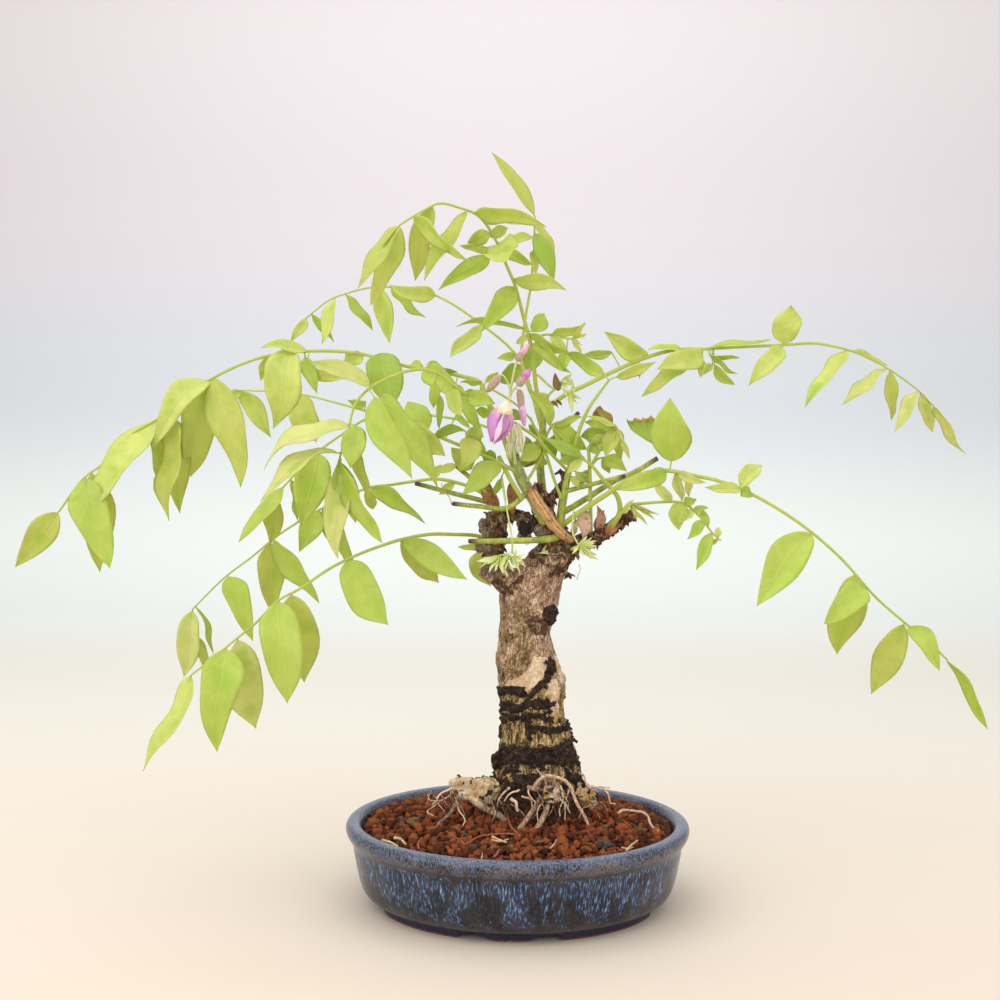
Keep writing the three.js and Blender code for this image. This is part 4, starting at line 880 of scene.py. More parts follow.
for name, rows in [("bark", np.stack([dark, pale, np.clip(ochre, 0, 1)], 1)),
                   ("wood", np.stack([dark_wood, relief, most(knot_middle, hollow)], 1)),
                   ("skin", np.stack([root_skin, (owner == GREY_WOOD) * 1.0, np.clip(scar, 0, 1)], 1))]:
    attribute = grown.attributes.new(name, "FLOAT_VECTOR", "POINT")
    attribute.data.foreach_set("vector", rows.astype(np.float32).ravel())
grown.materials.clear()
grown.shade_smooth()


def bark_surface(start, where):
    """The colour of the bark at a place, and the height of its grain."""
    bark_mark, wood_mark, skin_mark = (start.attribute(name) for name in ("bark", "wood", "skin"))
    relief = wood_mark.part(1)
    strands = where.stretched(1, 1, 0.2).noise(1250, 3, 0.6)
    streaks = where.stretched(1, 1, 0.25).noise(480, 4, 0.66)
    web = start.math("ABSOLUTE", where.stretched(1, 1, 0.42).noise(620, 4, 0.66) - 0.5)
    cracks = 1 - web.step(0.006, 0.05)
    crumbs = where.noise(1500, 3, 0.68)
    clouds = where.noise(150, 3, 0.55)
    tan = (strands * 0.5 + clouds * 0.6).shades(0.42, 0.66, (156, 116, 86), (226, 194, 160))
    tan = (cracks * 0.8).blend(tan, rgb(92, 56, 38))
    flecks = (crumbs * 0.35 + streaks * 0.85).step(0.5, 0.7)
    yellow = flecks.blend(rgb(74, 50, 22), rgb(230, 196, 132))
    yellow = (clouds.step(0.5, 0.64) * 0.3).blend(yellow, rgb(170, 152, 62))
    yellow = (where.part(2).step(0.125, 0.14) * 0.45).blend(yellow, rgb(122, 92, 54))
    yellow = (cracks * 0.8).blend(yellow, rgb(44, 28, 16))
    surface = (bark_mark.part(2) + 0.5 * (crumbs - 0.5)).step(0.15, 0.75).blend(tan, yellow)
    black = (crumbs * 0.7 + relief * 0.12 + clouds * 0.25).shades(0.42, 0.74, (20, 12, 9), (84, 54, 36))
    black = ((streaks * 0.5 + crumbs * 0.6).step(0.6, 0.72) * 0.7).blend(black, rgb(150, 110, 68))
    earthy = (1 - where.part(2).step(0.052, 0.066)) * 0.8
    black = earthy.blend(black, crumbs.shades(0.4, 0.62, (44, 20, 10), (118, 68, 40)))
    surface = (bark_mark.part(0) + 1.1 * (crumbs - 0.5)).step(0.34, 0.6).blend(surface, black)
    snag = (crumbs * 0.6 + strands * 0.45).shades(0.42, 0.66, (62, 40, 26), (138, 98, 66))
    snag = (relief * 0.8 * strands.step(0.35, 0.6)).blend(snag, rgb(194, 168, 138))
    surface = (wood_mark.part(0) + 0.5 * (crumbs - 0.5)).step(0.35, 0.65).blend(surface, snag)
    grey = (crumbs * 0.5 + strands * 0.5).shades(0.4, 0.62, (98, 78, 66), (178, 156, 136))
    surface = skin_mark.part(1).step(0.4, 0.6).blend(surface, grey)
    root = strands * 0.4 + crumbs * 0.3 + clouds * 0.35
    root = root.shades(0.4, 0.62, (138, 98, 70), (226, 196, 162))
    surface = skin_mark.part(0).step(0.4, 0.6).blend(surface, root)
    cream = (crumbs * 0.4 + clouds * 0.6).shades(0.4, 0.58, (208, 162, 88), (252, 230, 198))
    peeled = clouds.shades(0.3, 0.7, (232, 200, 158), (246, 220, 184))
    cream = skin_mark.part(2).step(0.3, 0.6).blend(cream, peeled)
    surface = (bark_mark.part(1) + 0.25 * (crumbs - 0.5)).step(0.35, 0.55).blend(surface, cream)
    pitted = crumbs.shades(0.4, 0.6, (22, 18, 14), (60, 50, 36))
    surface = wood_mark.part(2).step(0.2, 0.6).blend(surface, pitted)
    return surface, crumbs + strands - 0.6 * cracks


bark, start, where = new_material("old_bark")
surface, grain = bark_surface(start, where)
finish_with(start, principled(start, surface, 0.9, grain, 0.0006))
stand_in("trunk_and_roots", grown, bark, "bark", "trunk")


# Loose flakes of the dark bark and of the dead top stand off the trunk. Each is a thin curled chip,
# dark brown and crumbly, still held along one edge.
FLAKE_COUNT = 900
FLAKE_ACROSS = 4
FLAKE_DOWN = 3
FLAKE_THICKNESS = 0.5
TOP_ABOVE = 180


def grid_sheet(rows, columns):
    """The faces of a sheet of points that lie in rows, and the points round its rim."""
    width = columns + 1
    faces = [(j * width + k, (j + 1) * width + k, (j + 1) * width + k + 1, j * width + k + 1)
             for j in range(rows) for k in range(columns)]
    rim = [j * width for j in range(rows + 1)] + [rows * width + k for k in range(1, width)]
    rim += [j * width + columns for j in range(rows - 1, -1, -1)] + list(range(columns - 1, 0, -1))
    return faces, rim


def thick_sheet(faces, rim, count):
    """The faces of a thin closed chip. Its lower points follow the upper ones in the same order."""
    under = [tuple(i + count for i in reversed(face)) for face in faces]
    return faces + under + [(b, a, a + count, b + count) for a, b in zip(rim, rim[1:] + rim[:1])]


def bark_flake(spot, normal, wide, high, lift, slant, curl):
    """A thin closed chip that is held at its upper edge and stands off at its lower one."""
    across = np.cross((0, 0, 1), normal)
    across /= max(np.linalg.norm(across), 0.1)
    down = np.cross(across, normal)
    down = down * math.cos(slant) + across * math.sin(slant)
    side = np.cross(normal, down)
    top = []
    for j in range(FLAKE_DOWN + 1):
        t = j / FLAKE_DOWN
        for k in range(FLAKE_ACROSS + 1):
            s = 2 * k / FLAKE_ACROSS - 1
            reach = wide / 2 * s * (1 - 0.35 * t * t + 0.2 * math.sin(5 * t + curl * 9))
            edge = high * t * (1 + 0.3 * math.sin(3 * s + curl * 20))
            out = lift * t ** 1.5 - curl * s * s * wide * 0.15
            top.append(spot + side * reach + down * edge + normal * out)
    top = np.array(top)
    low = top - normal * FLAKE_THICKNESS
    return np.vstack([top, low]), thick_sheet(*grid_sheet(FLAKE_DOWN, FLAKE_ACROSS), len(top))


chance = random.Random(21)
shaggy = (dark > 0.6) & (relief > 0.2) | (dark_wood > 0.7) & (at[:, 2] > TOP_ABOVE)
shaggy = np.flatnonzero(shaggy & (at[:, 2] > 60) & (knot + hollow < 0.2))
flakes = Skin()
for index in chance.sample(list(shaggy), min(FLAKE_COUNT, len(shaggy))):
    on_top = at[index, 2] > TOP_ABOVE
    normal = normals[index] / np.linalg.norm(normals[index])
    wide = chance.uniform(1.6, 3.6) if on_top else chance.uniform(1.4, 4.2)
    high = chance.uniform(1.6, 4.2) if on_top else chance.uniform(1, 2.2)
    spot = at[index] - normal * 0.25
    chip = bark_flake(spot, normal, wide, high,
                      lift=chance.uniform(0.2, 1.3), slant=chance.gauss(0, 0.5), curl=chance.uniform(0, 1))
    pale_edge = chance.random() < (0.35 if on_top else 0.06)
    flakes.add(*chip, bark=(1 - on_top, 0, 0), wood=(on_top * 1.0, pale_edge, 0), skin=(0, 0, 0))
stand_in("loose_bark_flakes", flakes, bark, "bark", "trunk")


# Fine roots hang free under the crown of the trunk and creep over the soil. They are pale and
# woody, a millimetre or two thick, and taper to nothing.
# Each root: its radius at the two ends, and its points (u, v, depth).
ROOTLETS = [
    (1.15, 0.75, [(9, 64, -25), (10.4, 67.4, -27), (14.8, 70.8, -29), (22.1, 71.2, -31), (29.4, 65.6, -32),
                  (33.3, 56.2, -33), (38.4, 48, -33), (40, 44, -33)]),
    (0.5, 0.25, [(6, 65, -23), (7.2, 60, -26), (10.4, 56, -27)]),
    (0.6, 0.3, [(-4.4, 64.8, -21), (-8.2, 61, -23), (-11, 57.6, -23), (-11.6, 54, -22)]),
    (0.6, 0.3, [(1, 63.6, -22), (-3.6, 61.4, -24), (-7.4, 57, -24)]),
    (1, 0.7, [(-3.8, 58.6, -22), (-1, 56, -24), (0.4, 51.6, -24)]),
    (0.6, 0.3, [(2.4, 60, -22), (7.4, 57.8, -25), (8.2, 53.6, -25)]),
    (0.6, 0.3, [(22, 60, -24), (27.2, 54.6, -27), (29.6, 50.6, -27)]),
    (0.5, 0.25, [(24, 59, -24), (26.6, 55, -26), (26.8, 46.6, -27)]),
    (0.7, 0.35, [(34, 73.6, -10), (37.2, 71.4, -13), (39, 66.3, -15), (45.4, 62.4, -16)]),
    (0.7, 0.4, [(38.6, 67, -14), (43, 65.6, -16), (51.8, 65.2, -17)]),
    (0.6, 0.3, [(47.6, 65.6, -16), (51, 60.6, -18), (52.4, 56.6, -18), (55, 56, -18)]),
    (0.7, 0.3, [(-34, 65.6, -8), (-41, 62.4, -13), (-46, 57.4, -15), (-48.6, 54, -15)]),
    (0.55, 0.25, [(-36, 62, -10), (-43, 57, -14), (-49, 57.6, -15), (-50.4, 61, -15)]),
    (0.5, 0.25, [(-38, 60, -10), (-44, 56, -14), (-50.6, 51, -16), (-47, 48.6, -18)]),
    (0.5, 0.25, [(-34, 57, -12), (-32, 50, -16), (-29, 46, -19), (-31, 42.6, -21)]),
    (0.5, 0.25, [(14, 62, -24), (16, 68, -25), (13, 72.4, -24), (10.6, 75.4, -22)]),
    (0.5, 0.3, [(24, 66, -22), (25.4, 60, -25), (23.4, 54, -26), (24, 49, -27)]),
    (0.45, 0.25, [(14.6, 57, -26), (11, 52, -28), (11.6, 46, -29)]),
]
# Roots and straws that lie loose on the soil: how they look, radii, and drawn points (u, v).
LOOSE = [
    (1, 0.95, 0.7, [(56.5, 50.6), (59.6, 52.6), (65, 52.2), (71.4, 50.6), (75.1, 44), (79, 41)]),
    (0, 0.8, 0.45, [(1.6, 37.5), (-1.4, 40.6), (-3.7, 43.3), (-5.4, 49.4)]),
    (0, 0.55, 0.4, [(-1.6, 38.6), (-6, 39), (-11.3, 38.8), (-18, 38), (-22.2, 36.6), (-29.6, 32.6)]),
    (0, 0.45, 0.3, [(-29.6, 32.8), (-34, 36.6), (-39.6, 40)]),
    (2, 0.7, 0.4, [(61.3, 30.1), (64, 33), (67.5, 35.8)]),
    (2, 0.5, 0.3, [(58.6, 31.6), (62, 31), (65, 32)]),
    (2, 0.9, 0.5, [(-14, 37), (-10, 35.4), (-6, 34)]),
    (2, 0.6, 0.35, [(-14, 35.2), (-9, 34.6), (-5, 36)]),
    (2, 0.9, 0.5, [(-69, 36), (-65.6, 35.6), (-62.6, 32.6)]),
    (0, 0.7, 0.5, [(-13, 26), (-11.6, 28), (-9.6, 30)]),
    (0, 0.45, 0.3, [(-55, 30), (-55.6, 33.6), (-53, 36.4)]),
    (2, 0.4, 0.25, [(-20, 25), (-19.4, 28)]),
    (1, 0.5, 0.3, [(18.6, 31), (20.6, 33), (22, 36)]),
    (2, 0.8, 0.5, [(-75.5, 34.9), (-71, 33.6), (-67, 31.5)]),
]
STRAW = 2
# Hair roots: the middle of each clump (u, v, depth), its half width and height, and their number.
HAIR_ROOTS = [
    (-38, 58, -12, 8, 5, 26), (-8, 54, -22, 9, 6, 18), (20, 57, -24, 7, 7, 34), (40, 58, -15, 5, 5, 14),
]
root_skin_pale, start, where = new_material("fine_root_skin")
mark = start.attribute("mark")
lines = where.noise(900, 3)
thin_root = (lines * 0.8 + mark.part(1) * 0.2).shades(0.25, 0.6, (146, 102, 74), (230, 200, 168))
red_root = lines.blend(rgb(128, 62, 36), rgb(178, 104, 66))
thin_root = (1 - mark.part(0).step(0.2, 0.8)).blend(thin_root, red_root)
straw = lines.shades(0.3, 0.7, (168, 138, 94), (220, 198, 152))
thin_root = mark.part(0).step(1.2, 1.8).blend(thin_root, straw)
thin_root = (mark.part(2) * 1.2).blend(thin_root, lines.blend(rgb(40, 22, 14), rgb(96, 58, 36)))
finish_with(start, principled(start, thin_root, 0.8, lines, 0.0003))
chance = random.Random(31)
noise.seed_set(31)


def add_stem(skin, line, first, last, sides, rough=0.0, **marks):
    """A round stem along a line, with its radius at the foot and at the end."""
    skin.add(*tube(line, np.linspace(first, last, len(line)), sides, rough), **marks)


def crooked(points, amount):
    """A smooth line through the points that also wanders a little, as a root does. The noise that it
    wanders by would start from the clock, if it weren't seeded above."""
    line = smooth_line(points, 8)
    seed = chance.uniform(0, 90)
    stray = np.array([noise.noise_vector((p * 0.16 + seed).tolist()) for p in line])
    fade = np.sin(np.linspace(0.15, math.pi - 0.15, len(line)))
    return line + stray * amount * fade[:, None]


skin = Skin()
for first, last, points in ROOTLETS:
    line = crooked([place(*p) for p in points], 1.1)
    add_stem(skin, line, first, last, 8, 0.06, mark=(1, chance.random(), 0))
for u, v, depth, half_u, half_v, number in HAIR_ROOTS:
    for _ in range(number):
        foot = place(u + chance.gauss(0, 0.6) * half_u, v + chance.uniform(-0.2, 1) * half_v, depth)
        way = np.array([chance.gauss(0, 0.7), -abs(chance.gauss(0, 0.6)), -abs(chance.gauss(0.2, 0.8))])
        way *= chance.uniform(3, 7) / np.linalg.norm(way)
        line = crooked([foot, foot + way, foot + way * 1.6 + [chance.gauss(0, 2), -1, -2.4]], 2)
        line[:, 2] = [max(z, soil_height(x, y) + 0.6) for x, y, z in line]
        look = chance.choice([0.1, 0.2, 0.4, 0.9])
        add_stem(skin, line, 0.28, 0.12, 6, mark=(look, chance.random(), 1 - look))
stand_in("fine_rootlets", skin, root_skin_pale, "bark", "trunk")

skin = Skin()
for look, first, last, points in LOOSE:
    line = crooked([on_soil(u, v, 1.6) for u, v in points], 0.7 if look < STRAW else 0.3)
    add_stem(skin, line, first, last, 8, 0.05, mark=(look, chance.random(), 0))
stand_in("loose_roots_and_straw", skin, root_skin_pale, "clay_granules", "soil")


# The shoots: this year's soft green growth out of the old top, thick and downy on the left and
# smoother in the middle and on the right, with the cut ends of removed leaf stalks still on them.
# Each stalk: its radius at the two ends, and its points (u, v, depth).
SHOOTS = [
    ("shoot_hairy", [
        (3.4, 2.8, [(14.5, 213, -6), (11, 221, -7.2), (6.6, 229, -7.8), (2, 236, -8), (-2.4, 246.5, -9.6),
                    (-4.4, 254, -10.8)]),
        (1.6, 1.2, [(3, 229, -9), (-7, 221.5, -13), (-22, 222.3, -15), (-37.6, 223.8, -16)]),
    ]),
    ("shoot_middle", [
        (2.6, 1.9, [(19, 204, 4), (14, 224, 5), (11.5, 245, 5), (12.5, 262, 5), (13, 279, 6)]),
        (1.4, 1.2, [(12.6, 256, 5), (21.5, 263.5, 1), (32.7, 275.3, -3)]),
        (2.9, 2, [(12.8, 276, 5), (14.2, 279, 4), (15.8, 281.6, 3)]),
    ]),
    ("shoot_right", [
        (2.7, 1.8, [(22.5, 206, -4), (23.5, 220, -5), (26, 236, -6), (27.8, 244, -6)]),
        (1.4, 1.2, [(25.2, 231, -6), (40, 235, -9), (59, 240, -12)]),
        (1.8, 1.4, [(24, 219, -4), (38, 227.5, 4), (52, 236.5, 9), (65, 242.5, 12), (77, 250, 14)]),
    ]),
]
CUT_STALKS = [
    (2.3, 1.3, [(23, 206, -5), (18, 204.6, -10.5), (8, 203.6, -13.6), (-14, 203, -15),
                (-28.4, 202.8, -16)]),
    (1.6, 1.2, [(-14.5, 224, -4), (-21, 225.6, -8), (-40, 230.3, -12), (-58.5, 235, -15)]),
    (1.5, 1.2, [(-15, 227, -4), (-21, 232, -9), (-28, 238.5, -12), (-36, 245.2, -14)]),
    (2, 1.5, [(-13.5, 219, -3), (-14.5, 227, -4), (-19, 236.5, -5)]),
]
DRY_FROM = 0.86
SHOOT_SIDES = 16


def add_stalk(skin, first, last, points, cut):
    """A stalk whose points are marked with their share of the way, and with whether it is cut."""
    line = drawn_line(points, 10)
    radii = np.linspace(first, last, len(line))
    shares = np.append(np.repeat(np.linspace(0, 1, len(line)), SHOOT_SIDES), [0, 1])
    skin.add(*tube(line, radii, SHOOT_SIDES, 0.02), mark=[(share, cut, 0) for share in shares])
    return line, radii


shoot_green, start, where = new_material("soft_green_shoot")
mark = start.attribute("mark")
lines = where.stretched(1, 1, 0.3).noise(900, 3)
green = (0.6 * lines + 0.5 * where.noise(150, 2)).shades(0.4, 0.7, (126, 142, 52), (182, 188, 82))
cut_end = (mark.part(0).step(DRY_FROM, 0.99) * mark.part(1)).blend(green, rgb(80, 50, 38))
finish_with(start, principled(start, cut_end, 0.5, lines, 0.0003, Subsurface_Weight=0.1,
                              Subsurface_Radius=(0.4, 0.8, 0.2), Subsurface_Scale=0.001))
for name, stalks in SHOOTS:
    skin = Skin()
    grown_stalks = [add_stalk(skin, *stalk, cut=i > 0) for i, stalk in enumerate(stalks)]
    if name == "shoot_hairy":
        downy_line, downy_radii = grown_stalks[0]
    stand_in("green_" + name, skin, shoot_green, "shoot_green", name)
skin = Skin()
for stalk in CUT_STALKS:
    add_stalk(skin, *stalk, cut=True)
stand_in("cut_leaf_stalks", skin, shoot_green, "shoot_green", "trunk")


# Fine silvery hairs cover the downy shoot. They lie close to it, slanting upward, so that its edges
# look soft and grey.
HAIR_COUNT = 2200
HAIR_THICKNESS = 0.07
HAIR_FACES = [(0, 2, 1), (0, 1, 3), (1, 2, 3), (2, 0, 3)]
silver_down, start, where = new_material("silver_down")
sheen = where.noise(700, 2)
finish_with(start, principled(start, sheen.blend(rgb(176, 190, 140), rgb(226, 232, 204)), 0.6))
chance = random.Random(9)
skin = Skin()
for _ in range(HAIR_COUNT):
    i = chance.randrange(6, len(downy_line) - 2)
    run = downy_line[i + 1] - downy_line[i]
    run /= np.linalg.norm(run)
    out = np.cross(run, [chance.gauss(0, 1) for _ in range(3)])
    out /= np.linalg.norm(out)
    foot = downy_line[i] + run * chance.uniform(-1, 1) + out * downy_radii[i] * 0.97
    long = chance.uniform(1, 2.6)
    tip = foot + out * long * chance.uniform(0.25, 0.6) + run * long * chance.uniform(0.5, 1)
    side = np.cross(out, run) * HAIR_THICKNESS
    skin.add([foot - side, foot + side, foot + out * 2 * HAIR_THICKNESS, tip], HAIR_FACES)
stand_in("shoot_down", skin, silver_down, "shoot_green", "shoot_hairy")


# The leaves: each a long thin stalk with pairs of soft pointed leaflets, waved at the edges, fresh
# yellow-green when young and deeper green when grown, with painted light and shade in their tints, and a
# pale midrib and fine side veins.
# Each leaf: its node, its stalks as above, and its leaflets as (u, v, tip u, tip v, lean, width, bow,
# tint), where lean is how far the tip comes forward or goes back.
FRONDS = [("leaf_long_left", [
    (1.4, 0.55, [(-6, 253, -9), (-12, 268, -3), (-18, 280, 2), (-23, 292, 5), (-32, 295, 8),
        (-50, 298.5, 12), (-68, 301.5, 15), (-90, 307.5, 18), (-119, 308.7, 20), (-143, 305.5, 20),
        (-160, 299.5, 18), (-180, 288.5, 14), (-203, 270, 8), (-217, 262, 4), (-232, 246, 0),
        (-245, 236, -4), (-258, 218, -8)]),
], [
    (-258, 218, -282.5, 186.5, -5, 14.5, 0, 4), (-243, 237, -229, 185, -14, 20, -2, 2),
    (-240, 239, -235, 184.5, 14, 17, 1, 4), (-204, 271, -244.5, 211, -15, 14, -2.5, 1),
    (-205.5, 267, -197.5, 229, 13, 10, -1, 1), (-196, 272, -196.4, 212.7, -14, 12.5, 1, 4),
    (-196, 272, -190.5, 218, 16, 12, 1.5, 4), (-174.5, 293.5, -206, 253, -14, 14, -6, 1),
    (-178, 289, -184.5, 238, 14, 21, 0.6, 1), (-171.6, 293, -156.5, 232, -15, 19, 2.8, 4),
    (-129, 311, -138.5, 265, -14, 22, 0, 1), (-141, 306, -145.5, 292.5, 10, 7, 0, 1),
    (-120, 306, -96.5, 294, -12, 6, -5, 1), (-121, 306, -114, 285, -8, 8.6, 0, 2),
    (-118, 310, -146, 310, -6, 6.4, -2.5, 1), (-78, 309, -72, 277, -13, 22, 0, 3),
    (-88, 306.5, -99, 303, 8, 9, 0, 1), (-53, 300, -45, 301, 9, 4, 2, 1), (-54, 300, -62, 301, 9, 4, -2, 1),
    (-48, 299.5, -35, 297.5, -5, 3, 1, 3), (-56, 298, -30, 281, -12, 13, 1, 2),
    (-37, 291, -20.5, 261, -15, 8, 1, 2), (-20, 284, -31, 286.5, 9, 5, 0, 2),
    (-15, 274, -25, 276, 9, 6, 0, 2),
]), ("leaf_back_left", [
    (1, 0.5, [(12, 252, 6), (-6, 262, 26), (-30, 270, 48), (-58, 274, 66), (-84, 275, 80), (-100, 279, 88),
        (-123, 284.5, 96), (-142, 286, 100), (-158, 286.5, 103)]),
], [
    (-158, 285, -139.5, 260, 8, 12.5, 1.5, 1), (-156, 286.5, -170, 277, -7, 7, 0, 1),
    (-124, 283, -113.8, 257, -8, 19, -3, 4), (-86, 280, -97, 281.5, -8, 6, 2, 2),
]), ("leaf_hanging_left", [
    (1.3, 0.5, [(-5, 248, -12), (-10, 262, -13), (-17, 279, -17), (-28, 284, -21), (-36, 289, -25),
        (-45, 296, -28), (-55, 299, -32), (-65, 297.5, -36), (-75, 293.5, -40), (-84, 288.5, -43),
        (-89, 284, -45), (-93, 278, -46), (-96.5, 264, -48), (-99, 256, -48), (-103, 242, -48)]),
], [
    (-82, 284, -60, 237, -12, 15, -3, 2), (-78, 286, -46, 232.5, 11, 13, 0, 2),
    (-48, 292, -48.6, 277, 5, 6, 0, 2), (-84, 291, -119, 303, -10, 9, -2, 0),
    (-97, 268, -143.5, 242, -8, 8.6, -6, 0), (-92, 268, -95, 243, -9, 13, 0, 2),
    (-95, 262, -84, 226, 9, 6, -1, 4), (-101, 250, -76.5, 200.5, -12, 9, -2, 2),
    (-101, 252, -145.5, 224, -10, 7, -6.4, 0), (-100, 247, -92, 213, 10, 12, 0, 2),
    (-103, 242, -101.5, 192, -4, 12.5, 0, 0), (-40, 288, -33, 272, -9, 9, 0, 4),
    (-46, 286, -45.5, 265.5, 9, 4, 0, 2), (-20, 291.6, -12.6, 297.6, 6, 3.4, 0, 2),
    (-21, 292.4, -33.6, 292, 6, 2.8, 0, 2), (-6, 276.8, 0.8, 270.8, 8, 5, 0, 3),
    (-29.1, 286.7, -13.7, 279.6, -6, 9, 0, 2),
]), ("leaf_middle_left", [
    (1.2, 0.5, [(-2, 242, -10), (-9, 245.5, -15), (-17, 249.5, -17), (-30, 255, -20), (-40, 259, -22),
        (-50, 263, -23), (-60, 266.5, -24), (-70, 269.5, -24), (-84, 271.5, -22), (-100, 262, -16),
        (-113, 252.5, -12), (-120, 246, -10), (-132, 233, -6)]),
], [
    (-52, 263, -63, 281, 8, 14, 0, 2), (-64, 267, -41.5, 250, -8, 13, 0, 4),
    (-111.6, 251, -122.6, 209.4, -10, 19, 0.5, 2), (-128, 237, -124, 213, 8, 5, 0, 2),
    (-132, 233, -157.5, 201, -8, 8, 1, 2), (-136, 227, -140, 200, 8, 11, 0, 4),
    (-47, 264, -29, 263.5, -10, 5, 3, 3), (-24.6, 260.6, -33.4, 242.6, -8, 12, 0, 4),
    (-30.4, 262.6, -19.4, 250.4, 9, 9, 0, 4), (-28, 257, -23, 268, 9, 9, 0, 2),
    (-10, 245, -32.5, 228.5, -9, 12, -2, 2), (-35.4, 245.6, -49.6, 240.6, -5, 4.6, 0, 1),
    (-13, 247, -21, 252.6, 6, 7, 0, 3), (-10.4, 238.4, -14, 228.4, 4, 4.4, 0, 3),
    (-46, 262.6, -52, 250, 6, 8, 0, 4), (-84, 271, -73, 262, 7, 7, 0, 2),
    (-36.2, 274.1, -27.9, 265.9, -5, 4, 0, 2), (-26.7, 242.6, -38.5, 255.2, 4, 10, 0, 4),
]), ("leaf_low_mid_left", [
    (1.2, 0.5, [(-12, 214, 2), (-16, 225, 8), (-24, 231.5, 13), (-35, 235.5, 17), (-47, 237.5, 20),
        (-60, 236, 24), (-73, 234, 28), (-84, 232.5, 30), (-100, 226, 33), (-118, 216.5, 36),
        (-135, 205.5, 38), (-150, 193, 39), (-165, 181.5, 40), (-183, 163.5, 40)]),
], [
    (-84, 232, -53, 212.5, -14, 9, 3, 2), (-85, 231, -82, 220, 8, 7, 0, 4),
    (-113, 220, -123.5, 195.5, -12, 13, 0, 2), (-113, 220, -90, 184, 12, 9, 0, 2),
    (-141, 203, -137, 160.5, 9, 16.5, -0.5, 4), (-139, 203, -112, 167.5, -9, 11.5, 0, 2),
    (-163, 182, -148.8, 145.6, -12, 14.5, 1, 2), (-183, 163.5, -187.6, 125, -8, 14, 0, 0),
    (-182, 165, -171.1, 139, 8, 3.2, 1, 2), (-183, 150, -170.2, 123.6, 4, 5.5, -1, 4),
    (-36, 236, -45, 229, 7, 5, 0, 1), (-50, 238, -44, 246, 8, 5, 0, 1),
    (-110, 221, -100, 196, 10, 10, 0, 4),
]), ("leaf_lowest_left", [
    (1.15, 0.45, [(-12, 203, 6), (-25, 206, 7), (-36, 206.5, 2), (-50, 206.5, -6), (-66, 203.5, -14),
        (-77, 200, -20), (-90, 195, -27), (-106, 187, -35), (-122, 176, -42), (-136, 168, -48),
        (-147, 156.5, -52), (-159, 146.5, -56), (-171, 136.5, -60), (-183, 127, -63)]),
], [
    (-66, 204, -28.5, 181, -12, 13, 0, 2), (-67, 203, -45, 179.5, 12, 13, 0, 4),
    (-98, 191, -73, 155.5, -16, 20, -1.5, 2), (-128, 172, -120, 123.5, 14, 22, 0, 4),
    (-135, 168, -129.5, 111, -16, 22, 0, 2), (-158, 147, -147, 98, 14, 19, -1, 0),
    (-164, 142, -168.5, 83.5, -16, 20.5, -2, 2), (-183, 127, -210, 72.5, -6, 8.6, 2.6, 1),
]), ("leaf_behind_stub", [
    (0.9, 0.6, [(-8, 183, 3), (-11, 191, 13), (-14, 197, 20), (-18, 200, 24)]),
], [
    (-18, 200, -15.5, 177.5, -2, 15.5, -5, 1), (-20, 200.5, -34.5, 199.5, 4, 4, 0, 1),
]), ("leaf_top_arch", [
    (1.3, 0.5, [(12.5, 276, 3), (9, 288, -3), (7, 305, -8), (5, 316, -11), (2.5, 325, -13), (-1, 338, -15),
        (-4, 348, -16), (-8, 357, -18), (-14, 371, -21), (-24, 385, -25), (-35, 389.7, -28),
        (-46, 392, -31), (-55, 388, -33), (-68, 380, -36)]),
    (0.8, 0.5, [(5, 316, -11), (15, 319, -14), (25, 317, -17), (29.5, 316.5, -18)]),
], [
    (-68, 380, -92, 343.5, -8, 8, 0, 4), (-68, 380, -84.5, 334, 8, 12, 0, 1),
    (-61, 383.5, -29.5, 360, -12, 8, 0, 1), (-50, 391, -59.5, 348, 10, 12, -2.5, 4),
    (-30, 388, -55, 347.5, -12, 8, 0, 4), (-27, 387, 15, 379, -14, 8, 3, 1),
    (-24, 384, 6, 382, 8, 4, -1, 4), (-17, 363, -47, 343, -12, 9, 0, 2),
    (-4, 346, -22.5, 320, -12, 12, 0, 2), (-13, 369, -8, 357.5, -26, 19, 0, 1),
    (-19, 374, -7.5, 378.5, 8, 6, 0, 1), (-17, 376, -30, 370, 8, 8, 0, 1),
    (-13, 367, -35, 368.5, 8, 4, 0, 1), (-10, 364, 6.5, 358, 8, 6, 1, 2),
    (-4, 350, 26, 343.5, -14, 8, 2, 1), (29, 316.5, 36, 326, -3, 3, 0, 1),
    (29.5, 316.5, 37, 319.5, 4, 2.2, 0, 1), (29, 316.5, 34.5, 313.3, -4, 2, 0, 0),
    (28.5, 316.8, 34, 308.5, 3, 2.5, 0, 0), (4.8, 320, 27, 309.4, -7, 5.4, -1, 2),
    (6.4, 314.6, 28.6, 297.2, -9, 7.6, 1, 2), (2, 322, -35.7, 322.9, 7, 3.2, -4.5, 2),
    (16.5, 318, 36.6, 325.8, -4, 5.6, -1.6, 2), (15.6, 317.6, 27.6, 308, -3, 6, 0, 1),
    (25.6, 308.4, 22.4, 298.2, -3, 7, 0, 2), (4, 318.6, -2.6, 313.6, 3, 4, 0, 1),
    (5.6, 312, 1.6, 303.6, 6, 5, 0, 3),
]), ("leaf_top_upright", [
    (1.1, 0.5, [(12.7, 271, 6), (9, 280, 11), (5, 288, 13), (0.5, 305, 15), (1.3, 318, 15),
        (2.9, 330.6, 15), (5.3, 345.2, 14), (6.3, 356.4, 13), (7, 366.6, 12), (7.3, 380, 11),
        (7.5, 385, 10)]),
], [
    (7.2, 385, -17, 420.8, -6, 7, -0.6, 4), (8, 377, 18.5, 348, -8, 10, 1, 3),
    (8.5, 382, 18.5, 361, 8, 4.5, 1.4, 4), (8.5, 367, 8, 352, -6, 5, 0, 4),
